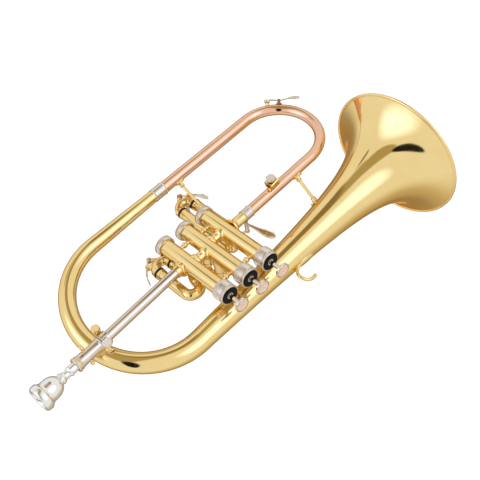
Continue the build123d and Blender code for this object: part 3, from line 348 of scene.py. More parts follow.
def make_bottom_caps():
    """Three bottom caps with a domed face and a vent hole."""
    height, hole = 7.0, 1.6
    outside = [(0.0, CAP_BORE + 0.9), (0.3, CAP_R - 0.5), (0.8, CAP_R - 0.4)]
    band = [(1.1, CAP_R - 0.1), (2.4, CAP_R), (3.7, CAP_R), (5.0, CAP_R - 0.1)]
    lip = [(5.25, CAP_R - 0.75), (5.6, CAP_R - 0.75)] + arc((5.9, CAP_R - 1.1), 1.1, 105, 0, 8)
    face = [(height - 0.1, 7.4), (height - 0.9, 6.6), (height - 1.0, 4.0), (height - 1.0, hole),
            (height - 2.2, hole), (height - 2.2, 6.8), (3.2, CAP_BORE), (0.0, CAP_BORE)]
    profile = outside + band + lip + face
    tooth = knurl(TEETH, TOOTH_DEPTH)
    ripples = {index: tooth for index in range(len(outside), len(outside) + len(band))}
    caps = []
    for x in VALVES_X:
        origin = Vector((x, 0, -CAP_FACE + height))
        caps.append(lathe(origin, Vector((0, 0, -1)), profile, TEETH * 6, True, ripples))
    verts, faces = merge(*caps)
    piece = make_piece("bottom_caps_knurled", verts, faces, "valve_block", "nickel_silver", ("bottom_caps",))
    crease(piece, 35)
    return piece


def make_cap_felts():
    """A round-edged black felt ring and a nickel stem bush in each top cap."""
    rings, bushes = [], []
    for x in VALVES_X:
        low = Vector((x, 0, CAP_FACE - 0.95))
        felt = [(0.0, 3.75), (0.0, RECESS_R - 0.1), (1.0, RECESS_R - 0.05)]
        felt += arc((1.2, RECESS_R - 0.8), 0.75, 90, 0, 6) + arc((1.2, 4.5), 0.75, 0, -90, 6)
        rings.append(lathe(low, Vector((0, 0, 1)), felt, 64))
        bush = [(0.0, 2.45), (0.0, 3.55), (1.1, 3.55)] + arc((1.2, 3.2), 0.35, 90, 0, 4)
        bush += [(1.5, 2.75), (1.3, 2.45)]
        bushes.append(lathe(low, Vector((0, 0, 1)), bush, 64))
    verts, faces = merge(*rings)
    felts = make_piece("cap_felt_rings", verts, faces, "valve_block", "black_felt", ("cap_felts",))
    verts, faces = merge(*bushes)
    bush = make_piece("stem_bushes", verts, faces, "valve_block", "nickel_silver")
    crease(felts, 50)
    crease(bush, 40)
    return felts, bush


# --- braces, knuckles and ferrules -------------------------------------------------------------
def bridge(start, end, start_tube, end_tube, foot_r, rod_r, long=0.25, count=48):
    """Turned rod from the axis of one round tube to that of another.

    A tube is (axis direction, radius). Each foot follows its tube's surface and is longer along the
    tube by the share `long`; a cove runs from the foot to the rod.
    """
    heading = (end - start).normalized()
    side = LEFT if abs(heading.dot(LEFT)) < 0.9 else Vector((1, 0, 0))
    side = (side - heading * side.dot(heading)).normalized()
    other = heading.cross(side)
    foot = [(-0.5, 1.0), (0.3, 1.0), (0.6, 0.97), (0.8, 0.9), (0.9, 0.78)]
    cove = [(1.2, 1.75), (4.6, 1.55), (4.8, 1.8), (5.3, 1.8), (5.5, 1.45), (5.9, 1.0)]
    halves = []
    for base, towards, (axis, radius) in ((start, heading, start_tube), (end, -heading, end_tube)):
        lengthwise = (axis - heading * axis.dot(heading)).normalized()
        rings = []
        for height, share in foot:
            ring = []
            for step in range(count):
                angle = 2 * math.pi * step / count
                spoke = side * math.cos(angle) + other * math.sin(angle)
                cos_along = spoke.dot(lengthwise)
                r = foot_r * share * (1 + long * (2 * cos_along ** 2 - 1))
                off_axis = r * math.sqrt(max(1 - cos_along ** 2, 0.0))
                rise = math.sqrt(max(radius ** 2 - off_axis ** 2, 1.0))
                ring.append(base + towards * (rise + height) + spoke * r)
            rings.append(ring)
        for height, share in cove:
            rings.append(ring_of(base + towards * (radius + height), side, other, rod_r * share, count))
        halves.append(rings)
    return join_rings(halves[0] + halves[1][::-1], False)


CLAMP_BRACE_TURN = 111.9     # where the clamp's brace meets the rear bow's half turn, in degrees


def make_braces():
    """Turned braces between the tubes; the one at the clamp is stouter."""
    leg = Vector((THIRD_LEG_X, SLIDE_Y, -62.0))
    upright = Vector((0, 0, 1))
    parts = [bridge(horn(130.0, *BRANCH), horn(122.0, *BELL), (ALONG, 5.75), (ALONG, 21.5), 4.6, 1.7, 0.5),
             bridge(horn(47.0, *LOWER), leg, (ALONG, 6.5), (upright, 5.6), 4.2, 1.6, 0.45)]
    turn = math.radians(CLAMP_BRACE_TURN)
    spoke = Vector((0, (LOWER[0] - BELL[0]) / 2, (LOWER[1] - BELL[1]) / 2))
    middle = Vector((0, (LOWER[0] + BELL[0]) / 2, (LOWER[1] + BELL[1]) / 2)) + spoke * math.cos(turn)
    on_bow = horn(REAR_U - spoke.length * math.sin(turn), middle.y, middle.z)
    run = spoke * (-math.sin(turn) / spoke.length)
    along_bow = -ALONG * math.cos(turn) + LEFT * run.y + SQUARE * run.z
    parts.append(bridge(LEAD_START + LEAD * CLAMP_AT, on_bow, (LEAD, 7.0), (along_bow, 10.2), 4.8, 2.3))
    for x, radius in ((VALVES_X[0], 12.9), (VALVES_X[2], 14.7)):
        parts.append(bridge(Vector((x, 0, 25.5)), horn(x, *BELL), (upright, CASING_R), (ALONG, radius),
                            4.0, 1.9))
    verts, faces = merge(*parts)
    piece = make_piece("turned_braces", verts, faces, "valve_block", "lacquered_brass", ("braces",))
    crease(piece, 40)
    return piece


def make_knuckles():
    """Port knuckles between the casings, with rounded saddles; and the one to the copper branch."""
    shape = [(-0.6, 7.0), (0.2, 7.1), (0.9, 7.05), (1.5, 6.75), (1.9, 6.2), (2.1, 5.5), (2.3, 5.05)]
    parts = []
    for x, z in ((VALVES_X[0], -7.5), (VALVES_X[1], -14.5)):
        rings = []
        for base, sign, steps in ((x, 1, shape), (x + VALVE_PITCH, -1, shape[::-1])):
            for height, r in steps:
                ring = []
                for step in range(72):
                    angle = 2 * math.pi * step / 72
                    y = r * math.cos(angle)
                    follow = min(max((2.3 - height) / 1.4, 0.0), 1.0)
                    rise = CASING_R + follow * (math.sqrt(CASING_R ** 2 - y ** 2) - CASING_R)
                    ring.append(Vector((base + sign * (rise + height), y, z + r * math.sin(angle))))
                rings.append(ring)
        parts.append(join_rings(rings, False))
    verts, faces = merge(*parts)
    piece = make_piece("rounded_knuckles", verts, faces, "valve_block", "lacquered_brass", ("port_knuckles",))
    crease(piece, 45)

    collar = [(8.2, 5.2), (8.2, 7.9), (9.2, 8.2), (10.2, 8.0), (11.0, 7.3), (11.5, 6.3), (12.2, 5.85),
              (14.0, 5.6), (24.5, 5.6), (25.5, 5.6), (25.5, 5.2)]
    verts, faces = lathe(horn(VALVES_X[2], *BRANCH), ALONG, collar, 72)
    outlet = make_piece("outlet_collar", verts, faces, "valve_block", "lacquered_brass", ("outlet_knuckle",))
    crease(outlet, 45)
    return piece, outlet


def make_ferrules():
    """Two nickel sleeves with fine turned lines and a low bead at each end."""
    sleeves = (("lower", FERRULE_U, LOWER, 6.64, 15.0), ("upper", 57.0, BRANCH, 5.69, 11.0))
    for name, u, place, bore, length in sleeves:
        skin = bore + 0.42
        profile = [(-length / 2, bore)]
        profile += arc((-length / 2 + 0.55, skin - 0.12), 0.5, 180, 20, 8)
        profile += [(-length / 2 + 1.25, skin - 0.1), (-length / 2 + 1.4, skin)]
        for line in (-0.22, 0.0, 0.22):
            centre = line * length
            profile += [(centre - 0.3, skin), (centre - 0.12, skin - 0.13)]
            profile += [(centre + 0.12, skin - 0.13), (centre + 0.3, skin)]
        profile += [(length / 2 - 1.4, skin), (length / 2 - 1.25, skin - 0.1)]
        profile += arc((length / 2 - 0.55, skin - 0.12), 0.5, 160, 0, 8) + [(length / 2, bore)]
        verts, faces = lathe(horn(u, *place), ALONG, profile, 96)
        piece = make_piece(f"{name}_ferrule_turned", verts, faces, "valve_block", "nickel_silver",
                           (f"{name}_ferrule",))
        crease(piece, 30)


# --- receiver, levers, hook, clamp and mouthpiece ----------------------------------------------
def make_receiver():
    """Mouthpipe, receiver sleeve with its slit, end ring and cross rod with two balls."""
    tube = [(60.0, 3.95), (60.0, 4.55), (107.4, 4.55), (107.4, 6.2)]
    sleeve = arc((108.2, 6.35), 0.75, 180, 10, 8)
    sleeve += [(109.2, 6.15), (112.0, 6.1), (121.0, 6.1), (126.0, 6.3), (131.6, 6.4)]
    ring = [(132.0, 6.5)] + arc((133.2, 6.45), 0.75, 170, 20, 8) + [(134.4, 6.35)]
    ring += arc((136.6, 6.2), 1.35, 165, 0, 10) + [(138.0, 5.2), (137.6, 4.75), (123.0, 4.4), (121.0, 3.9)]
    profile = tube + sleeve + ring

    def slit(angle):
        away = abs((angle + 0.5 + math.pi) % (2 * math.pi) - math.pi)
        return -1.35 if away < 0.11 else 0.0

    slit_rows = range(len(tube) + 10, len(tube) + len(sleeve))
    verts, faces = lathe(LEAD_START, LEAD, profile, 144, True, {row: slit for row in slit_rows})
    piece = make_piece("receiver_sleeve", verts, faces, "mouthpipe", "nickel_silver", ("receiver",))
    crease(piece, 38)

    middle = LEAD_START + LEAD * LOCK_AT
    half = [(5.6, 0.0), (5.6, 1.25), (7.0, 1.15)] + arc((9.0, 0.0), 2.15, 147, 0, 14)
    parts = [lathe(middle, direction, half, 40, False) for direction in (LOCK_SIDE, -LOCK_SIDE)]
    for side in (-1, 1):
        bar = LEAD_START + LEAD * (LOCK_AT + side * 1.2)
        parts.append(lathe(bar, LOCK_SIDE, [(-6.9, 0.0), (-6.9, 0.55), (6.9, 0.55), (6.9, 0.0)], 16, False))
    parts.append(lathe(LEAD_START, LEAD, [(134.2, 5.9), (134.2, 6.9)] + arc((135.9, 6.35), 0.95, 140, 20, 10)
                       + [(137.0, 6.3), (137.4, 5.9)], 72))
    verts, faces = merge(*parts)
    rod = make_piece("receiver_lock_rod", verts, faces, "mouthpipe", "lacquered_brass")
    crease(rod, 50)
    return piece, rod


def smooth_path(points, per_span=12):
    """Catmull-Rom curve through points in space."""
    ends = [points[0] * 2 - points[1]] + list(points) + [points[-1] * 2 - points[-2]]
    found = []
    for i in range(1, len(ends) - 2):
        a, b, c, d = ends[i - 1:i + 3]
        for step in range(per_span):
            t = step / per_span
            found.append((b * 2 + (c - a) * t + (a * 2 - b * 5 + c * 4 - d) * t ** 2
                          + (b * 3 - a - c * 3 + d) * t ** 3) * 0.5)
    return found + [points[-1]]


def sweep_oval(path, width_at, thick_at, width_dir, count=28):
    """Closed bar with an oval section along a path; width_dir(t) gives the section's long axis."""
    rings = []
    last = len(path) - 1
    for index, centre in enumerate(path):
        heading = (path[min(index + 1, last)] - path[max(index - 1, 0)]).normalized()
        t = index / last
        wide = width_dir(t)
        wide = (wide - heading * wide.dot(heading)).normalized()
        thin = heading.cross(wide)
        ring = []
        for step in range(count):
            angle = 2 * math.pi * step / count
            ring.append(centre + wide * (width_at(t) * math.cos(angle))
                        + thin * (thick_at(t) * math.sin(angle)))
        rings.append(ring)
    return join_rings(rings, False)


def teardrop(root, tip, start, rise, power, end):
    """Half width of a thumb plate, from its root to its rounded tip."""
    def width(t):
        swell = root + (tip - root) * min(max((t - start) / rise, 0.0), 1.0) ** power
        return swell * math.sqrt(max(1.0 - max((t - end) / (1.0 - end), 0.0) ** 2, 0.0004))
    return width


def make_trigger():
    """Third-slide trigger: turned hub, arm to the slide's rod, and a teardrop plate for the thumb."""
    pivot, _ = joint_line("trigger_pull")
    x, z = pivot.x, pivot.z
    hub = [(-27.4, 1.35), (-27.4, 2.3)] + arc((-26.7, 2.3), 0.35, 180, 60, 4) + [(-26.0, 2.2), (-24.4, 2.2)]
    hub += [(-14.5, 2.1)] + arc((-13.2, 2.3), 0.45, 170, 0, 6) + [(-12.6, 1.35)]
    parts = [lathe(Vector((x, 0, z)), LEFT, hub, 40)]
    arm = smooth_path([Vector((x - 1.4, -26.0, z)), Vector((46.0, -26.0, z - 0.1)), Vector((35.0, -26.0, z)),
                       Vector((31.0, -26.0, z))])
    parts.append(sweep_oval(arm, lambda t: 1.45 + 0.25 * math.cos(2 * math.pi * t) if t < 0.97 else 0.6,
                            lambda t: 1.15, lambda t: LEFT))
    plate = smooth_path([Vector((x + 0.6, -17.1, z + 1.2)), Vector((x + 1.6, -17.1, -9.0)),
                         Vector((x + 2.2, -16.9, 0.0)), Vector((x + 4.2, -16.6, 10.0)),
                         Vector((x + 7.0, -16.2, 18.6))], 14)

    def turned(t):
        angle = math.radians(30.0) * min(t / 0.6, 1.0)
        return Vector((math.sin(angle), math.cos(angle), 0))

    width = teardrop(1.9, 4.4, 0.25, 0.45, 1.5, 0.80)
    parts.append(sweep_oval(plate, width, lambda t: 0.85 if t < 0.99 else 0.2, turned))
    verts, faces = merge(*parts)
    piece = make_piece("trigger_lever_shaped", verts, faces, "trigger", "nickel_silver", ("trigger_lever",))
    crease(piece, 50)
    return piece


KEY_TURN = 128.0             # where the main key sits on the front bow's half turn, in degrees
PIN_Z = 4.0                  # height of its pin above the tube


def make_main_key():
    """Main water key's lever: cork cup, barrel, and a thumb plate turned towards the hand.

    In the key's own plane, x runs along the tube towards the thumb plate, and z away from it.
    """
    pivot, pin = joint_line("main_key_press")
    spoke = Vector((0, (BRANCH[0] - LOWER[0]) / 2, (BRANCH[1] - LOWER[1]) / 2))
    turn = math.radians(KEY_TURN)
    run = (LEFT * spoke.y + SQUARE * spoke.z) * (math.sin(turn) / spoke.length) - ALONG * math.cos(turn)
    up = run.cross(pin)

    def at(x, z):
        return pivot + run * x + up * (z - PIN_Z)

    barrel = [(-1.95, 0.85), (-1.95, 1.6), (-1.6, 1.9), (1.6, 1.9), (1.95, 1.6), (1.95, 0.85)]
    cup = [(2.7, 2.75), (2.7, 3.2), (4.5, 3.25), (5.0, 2.95), (5.3, 2.0), (5.4, 0.02), (3.65, 0.02),
           (3.65, 2.75)]
    parts = [lathe(at(0.0, PIN_Z), pin, barrel, 40), lathe(at(-13.5, 0.0), up, cup, 48)]
    arm = smooth_path([at(-13.0, 4.7), at(-9.0, 4.9), at(-4.5, 4.7), at(-1.4, 4.5)])
    parts.append(sweep_oval(arm, lambda t: 1.5 - 0.4 * math.sin(math.pi * t), lambda t: 0.75, lambda t: pin))
    plate = smooth_path([at(1.4, 4.6), at(6.0, 5.6), at(12.0, 6.9), at(18.0, 7.5), at(23.3, 7.3)])

    def turned(t):
        angle = math.radians(40.0) * min(t / 0.6, 1.0)
        return pin * math.cos(angle) + up * math.sin(angle)

    width = teardrop(1.3, 3.6, 0.2, 0.5, 1.4, 0.78)
    parts.append(sweep_oval(plate, width, lambda t: 0.65 if t < 0.99 else 0.15, turned))
    verts, faces = merge(*parts)
    piece = make_piece("main_key_lever_shaped", verts, faces, "main_key", "nickel_silver",
                       ("main_key_lever",))
    crease(piece, 45)
    return piece


def make_pinky_hook():
    """Wire hook for the little finger on a long foot that follows the bell."""
    wire = smooth_path([Vector((60.5, -33.4, 51.8)), Vector((54.5, -34.6, 54.2)),
                        Vector((51.0, -36.0, 59.5)), Vector((54.0, -39.5, 66.3)),
                        Vector((60.5, -42.0, 68.2)), Vector((67.0, -44.0, 66.5))])
    parts = [sweep_oval(wire, lambda t: 2.0 if 0 < t < 0.985 else 0.5,
                        lambda t: 1.7 if 0 < t < 0.985 else 0.4, lambda t: Vector((0, 1, 0.2)))]
    out = Vector((0.0, -0.09, 1.0)).normalized()
    foot = []
    for height, grow in ((-0.5, 1.0), (0.4, 1.0), (0.8, 0.93), (1.0, 0.8), (1.1, 0.02)):
        ring = []
        for step in range(64):
            angle = 2 * math.pi * step / 64
            c, d = math.cos(angle), math.sin(angle)
            u = 66.0 + 10.5 * grow * math.copysign(abs(c) ** 1.35, c)
            aside = 4.3 * grow * math.copysign(abs(d) ** 0.9, d)
            r = bell_radius(u)
            rise = out * (math.sqrt(r * r - aside * aside) + height)
            ring.append(horn(u, *BELL) + rise - LEFT * aside)
        foot.append(ring)
    parts.append(join_rings(foot, False))
    verts, faces = merge(*parts)
    piece = make_piece("pinky_hook_wire", verts, faces, "valve_block", "lacquered_brass", ("pinky_hook",))
    crease(piece, 45)
    return piece


def make_clamp():
    """Split clamp: a collar with two ears, and the six-sided nut that faces the player's hand."""
    place = LEAD_START + LEAD * CLAMP_AT
    collar = [(-4.5, 5.25), (-4.5, 6.5)] + arc((-3.9, 6.5), 0.6, 150, 90, 4)
    collar += arc((3.9, 6.5), 0.6, 90, 0, 6) + [(4.5, 5.25)]
    parts = [lathe(place, LEAD, collar, 64)]
    facing = LEAD.cross(LOCK_SIDE)
    if facing.dot(LEFT) < 0:
        facing = -facing
    nut = place + LEAD * 1.5 + LOCK_SIDE * 1.4 + facing * 1.0
    sides = []
    for height, r in ((0.0, 5.4), (6.2, 5.4), (6.9, 4.8), (7.0, 4.6), (7.0, 3.2), (6.8, 3.0), (6.8, 0.05)):
        ring = []
        for step in range(48):
            angle = 2 * math.pi * step / 48
            corner = (angle % (math.pi / 3)) - math.pi / 6
            reach = r * math.cos(math.pi / 6) / math.cos(corner) if r > 4.0 else r
            corner_way = LEAD * math.cos(angle) + LOCK_SIDE * math.sin(angle)
            ring.append(nut + facing * height + corner_way * reach)
        sides.append(ring)
    parts.append(join_rings(sides, False))
    ear = [(-1.7, 0.0), (-1.7, 3.3), (1.2, 3.5), (1.9, 3.1), (1.9, 0.0)]
    for side in (-1, 1):
        base = place - LEAD_UP * 7.4 + LEFT * (side * 2.4)
        parts.append(lathe(base, LEFT * side, ear, 40, False))
    verts, faces = merge(*parts)
    piece = make_piece("clamp_nut_and_collar", verts, faces, "valve_block", "nickel_silver",
                       ("clamp_collar",))
    crease(piece, 30)
    return piece


def make_mouthpiece():
    """Funnel mouthpiece, turned from one piece: shank, collar, stepped cup and cushioned rim."""
    start, end = 138.0, 181.5
    shank = start - 16.0
    outside = [(shank, 3.6), (shank, 4.45), (start + 5.4, 4.6), (start + 6.0, 5.3), (start + 6.6, 5.35),
               (start + 7.2, 4.9), (start + 8.0, 4.3)]
    neck = smooth_profile([(start + 8.6, 4.0), (start + 11.0, 3.75), (start + 13.4, 4.2),
                           (start + 15.0, 5.2)], 6)
    collar = arc((start + 16.4, 4.75), 0.95, 150, 20, 8) + [(start + 17.7, 4.7)]
    cup = smooth_profile([(start + 18.0, 4.8), (start + 19.4, 6.6), (start + 22.6, 9.1), (start + 27.2, 10.5),
                          (start + 32.5, 10.75)], 8)
    step = smooth_profile([(start + 33.4, 10.9), (start + 35.2, 11.6), (start + 36.6, 13.0)], 6)
    rim = [(start + 37.2, 13.35), (start + 38.6, 13.4), (start + 40.6, 13.35)]
    rim += smooth_profile([(start + 41.4, 13.2), (end - 0.75, 12.6), (end - 0.05, 11.3), (end - 0.35, 9.9),
                           (end - 1.7, 8.8)], 7)
    bowl = smooth_profile([(end - 2.6, 8.5), (end - 7.0, 7.4), (end - 13.0, 4.4), (end - 19.0, 1.9)], 8)
    profile = outside + neck + collar + cup + step + rim + bowl + [(shank, 2.6)]
    verts, faces = lathe(LEAD_START, LEAD, profile, count=128)
    piece = make_piece("mouthpiece_silver", verts, faces, "mouthpiece", "silver_plate", ("mouthpiece",))
    crease(piece, 38)
    return piece


# --- materials -----------------------------------------------------------------------------------
class Nodes:
    """Short calls for building a node tree."""

    def __init__(self, name):
        self.material = bpy.data.materials.new(name)
        self.material.use_nodes = True
        self.tree = self.material.node_tree
        self.shader = self.tree.nodes["Principled BSDF"]
        coordinates = self.tree.nodes.new("ShaderNodeTexCoord")
        self.place = coordinates.outputs["Object"]

    def link(self, a, b):
        self.tree.links.new(a, b)

    def stretched(self, scale):
        node = self.tree.nodes.new("ShaderNodeMapping")
        node.inputs["Scale"].default_value = scale
        self.link(self.place, node.inputs["Vector"])
        return node.outputs["Vector"]

    def noise(self, scale, detail=4.0, rough=0.55, place=None, distortion=0.0):
        node = self.tree.nodes.new("ShaderNodeTexNoise")
        node.inputs["Scale"].default_value = scale
        node.inputs["Detail"].default_value = detail
        node.inputs["Roughness"].default_value = rough
        node.inputs["Distortion"].default_value = distortion
        self.link(place or self.place, node.inputs["Vector"])
        return node.outputs["Fac"]

    def cells(self, scale, feature="F1"):
        node = self.tree.nodes.new("ShaderNodeTexVoronoi")
        node.feature = feature
        node.inputs["Scale"].default_value = scale
        self.link(self.place, node.inputs["Vector"])
        return node.outputs["Distance"]

    def ramp(self, value, *stops):
        node = self.tree.nodes.new("ShaderNodeValToRGB")
        while len(node.color_ramp.elements) < len(stops):
            node.color_ramp.elements.new(0.5)
        for element, (position, colour) in zip(node.color_ramp.elements, stops):
            element.position = position
            element.color = (*colour, 1.0)
        self.link(value, node.inputs["Fac"])
        return node.outputs["Color"]

    def spread(self, value, low, high, start=0.3, end=0.7):
        node = self.tree.nodes.new("ShaderNodeMapRange")
        node.inputs["From Min"].default_value = start
        node.inputs["From Max"].default_value = end
        node.inputs["To Min"].default_value = low
        node.inputs["To Max"].default_value = high
        self.link(value, node.inputs["Value"])
        return node.outputs["Result"]

    def maths(self, operation, a, b):
        node = self.tree.nodes.new("ShaderNodeMath")
        node.operation = operation
        for socket, value in zip(node.inputs, (a, b)):
            if isinstance(value, float):
                socket.default_value = value
            else:
                self.link(value, socket)
        return node.outputs["Value"]

    def colour(self, output):
        self.link(output, self.shader.inputs["Base Color"])

    def roughness(self, output):
        self.link(output, self.shader.inputs["Roughness"])

    def bump(self, height, strength, distance):
        node = self.tree.nodes.new("ShaderNodeBump")
        node.inputs["Strength"].default_value = strength
        node.inputs["Distance"].default_value = distance
        self.link(height, node.inputs["Height"])
        self.link(node.outputs["Normal"], self.shader.inputs["Normal"])

    def set(self, **values):
        for name, value in values.items():
            self.shader.inputs[name.replace("_", " ")].default_value = value


def polished_metal(name, light, deep, smooth, dull, edge, coat=0.0, grain=0.04):
    """Buffed metal: faint clouding, wiped smears in the gloss and hairline polishing marks."""
    made = Nodes(name)
    made.set(Metallic=1.0, Coat_Weight=coat, Coat_Roughness=0.03, Coat_IOR=1.5, Specular_Tint=(*edge, 1.0))
    cloud = made.noise(38.0, 3.0, 0.5)
    speck = made.noise(420.0, 2.0, 0.6)
    shade = made.maths("ADD", made.maths("MULTIPLY", cloud, 0.8), made.maths("MULTIPLY", speck, 0.2))
    made.colour(made.ramp(shade, (0.32, deep), (0.62, light)))
    smear = made.noise(60.0, 5.0, 0.6, made.stretched((1.0, 3.0, 0.35)), 0.6)
    hair = made.noise(900.0, 2.0, 0.7, made.stretched((1.0, 0.15, 1.0)))
    made.roughness(made.maths("ADD", made.spread(smear, smooth, dull), made.spread(hair, 0.0, grain)))
    made.bump(made.maths("ADD", made.maths("MULTIPLY", hair, 0.35), made.noise(90.0, 2.0)), 0.06, 0.00012)
    return made.material


def honed_metal(name, colour, rough):
    """Drawn or ground metal with fine lines round it."""
    made = Nodes(name)
    made.set(Metallic=1.0, Anisotropic=0.4)
    lines = made.noise(700.0, 3.0, 0.7, made.stretched((0.2, 0.2, 3.0)))
    made.colour(made.ramp(lines, (0.3, tuple(c * 0.82 for c in colour)), (0.7, colour)))
    made.roughness(made.spread(lines, rough, rough + 0.14))
    made.bump(lines, 0.12, 0.0001)
    return made.material


def pearl_material():
    """Peach shell: soft wavy layers under a clear gloss."""
    made = Nodes("peach_pearl")
    made.set(Metallic=0.0, Coat_Weight=1.0, Coat_Roughness=0.04, Specular_IOR_Level=0.6)
    wave = made.noise(260.0, 4.0, 0.55, made.stretched((1.0, 2.2, 1.0)), 1.6)
    made.colour(made.ramp(wave, (0.28, (0.60, 0.38, 0.27)), (0.47, (0.68, 0.47, 0.36)),
                          (0.6, (0.74, 0.57, 0.46)), (0.75, (0.66, 0.52, 0.45))))
    made.roughness(made.spread(wave, 0.18, 0.34))
    made.bump(made.noise(900.0, 2.0), 0.05, 0.0001)
    return made.material


def felt_material():
    """Pressed black wool felt."""
    made = Nodes("pressed_felt")
    made.set(Metallic=0.0, Sheen_Weight=0.06, Sheen_Roughness=0.5, Specular_IOR_Level=0.2)
    fibre = made.noise(2600.0, 5.0, 0.75, None, 1.2)
    made.colour(made.ramp(fibre, (0.3, (0.001, 0.001, 0.001)), (0.75, (0.006, 0.005, 0.005))))
    made.roughness(made.spread(fibre, 0.85, 0.98))
    made.bump(fibre, 0.8, 0.00025)
    return made.material


def rubber_material():
    """Black rubber with a faint dusty skin."""
    made = Nodes("bumper_rubber")
    made.set(Metallic=0.0, Specular_IOR_Level=0.4)
    dust = made.noise(700.0, 4.0, 0.6)
    made.colour(made.ramp(dust, (0.35, (0.004, 0.004, 0.004)), (0.75, (0.014, 0.014, 0.015))))
    made.roughness(made.spread(dust, 0.42, 0.62))
    made.bump(dust, 0.25, 0.0001)
    return made.material


def cork_material():
    """Fine cork with darker grain and small pores."""
    made = Nodes("key_cork")
    made.set(Metallic=0.0, Specular_IOR_Level=0.3)
    grain = made.noise(1300.0, 5.0, 0.7)
    pores = made.cells(1500.0)
    shade = made.maths("MULTIPLY", grain, made.spread(pores, 0.75, 1.1, 0.05, 0.45))
    made.colour(made.ramp(shade, (0.25, (0.10, 0.045, 0.02)), (0.45, (0.36, 0.18, 0.085)),
                          (0.65, (0.52, 0.30, 0.16))))
    made.roughness(made.spread(grain, 0.7, 0.9))
    made.bump(made.maths("ADD", grain, pores), 0.5, 0.00025)
    return made.material


def floor_material():
    """Pale seamless paper."""
    made = Nodes("studio_paper")
    made.set(Metallic=0.0, Specular_IOR_Level=0.1)
    fibre = made.noise(240.0, 4.0, 0.6)
    made.colour(made.ramp(fibre, (0.3, (0.955, 0.955, 0.96)), (0.7, (0.975, 0.975, 0.98))))
    made.roughness(made.spread(fibre, 0.85, 0.95))
    made.bump(fibre, 0.03, 0.0002)
    return made.material


def dress(material, *names):
    """Give a material to CAD nodes or to new pieces."""
    for name in names:
        piece = bpy.data.objects[name]
        piece.data.materials.clear()
        piece.data.materials.append(material)


def assign_materials():
    by_slot = {
        "lacquered_brass": polished_metal("lacquered_brass", (0.93, 0.73, 0.345), (0.90, 0.69, 0.30),
                                          0.03, 0.09, (0.85, 0.50, 0.16), coat=0.3),
        "rose_copper": polished_metal("rose_copper", (0.89, 0.585, 0.415), (0.85, 0.53, 0.36),
                                      0.03, 0.09, (0.85, 0.50, 0.30), coat=0.3),
        "nickel_silver": polished_metal("nickel_silver", (0.76, 0.69, 0.61), (0.72, 0.645, 0.565), 0.04, 0.10,
                                        (0.80, 0.70, 0.58)),
        "silver_plate": polished_metal("silver_plate", (0.90, 0.895, 0.885), (0.87, 0.86, 0.845), 0.02, 0.05,
                                       (0.9, 0.9, 0.9)),
        "piston_monel": honed_metal("piston_monel", (0.62, 0.60, 0.57), 0.16),
        "spring_steel": honed_metal("spring_steel", (0.55, 0.55, 0.56), 0.22),
        "pearl": pearl_material(),
        "black_felt": felt_material(),
        "black_rubber": rubber_material(),
        "cork": cork_material(),
    }
    for part in frame["record"]["subparts"]:
        dress(by_slot[part["material_slot"]], part["node"])
    for piece in bpy.context.scene.objects:
        if "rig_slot" in piece:
            dress(by_slot[piece["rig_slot"]], piece.name)


# --- studio ----------------------------------------------------------------------------------------
AZIMUTH, ELEVATION, ROLL = 117.6984, 34.1366, 124.855       # where the camera stands, in degrees
CAMERA_SHIFT = Vector((-23.878, -12.607, -786.790))         # the origin as the camera sees it, mm
LENS = 60.61


def camera_turn():
    """The camera's right, up and back directions in the world."""
    azimuth, elevation, roll = math.radians(AZIMUTH), math.radians(ELEVATION), math.radians(ROLL)
    level = Vector((-math.sin(azimuth), math.cos(azimuth), 0))
    back = Vector((math.cos(elevation) * math.cos(azimuth), math.cos(elevation) * math.sin(azimuth),
                   math.sin(elevation)))
    right = level * math.cos(roll) + back.cross(level) * math.sin(roll)
    return right, back.cross(right), back


CAMERA_RIGHT, CAMERA_UP, CAMERA_BACK = camera_turn()


def make_camera():
    data = bpy.data.cameras.new("camera")
    data.lens = LENS
    data.sensor_width = 36.0
    data.clip_start, data.clip_end = 0.05, 200.0
    camera = bpy.data.objects.new("camera", data)
    bpy.context.scene.collection.objects.link(camera)
    turn = Matrix((CAMERA_RIGHT, CAMERA_UP, CAMERA_BACK)).transposed()
    camera.matrix_world = Matrix.Translation(-(turn @ CAMERA_SHIFT) * MM) @ turn.to_4x4()
    bpy.context.scene.camera = camera


def make_floor():
    """Seamless paper below the instrument, seen but not mirrored in it."""
    size, depth = 60.0, cad_box[0].z - 1.1
    mesh = bpy.data.meshes.new("floor")
    corners = [(-size, -size, depth), (size, -size, depth), (size, size, depth), (-size, size, depth)]
    mesh.from_pydata(corners, [], [(0, 1, 2, 3)])
    floor = bpy.data.objects.new("floor", mesh)
    bpy.context.scene.collection.objects.link(floor)
    mesh.materials.append(floor_material())
    floor.visible_glossy = False


def studio_direction(right, up, back):
    return (CAMERA_RIGHT * right + CAMERA_UP * up + CAMERA_BACK * back).normalized()


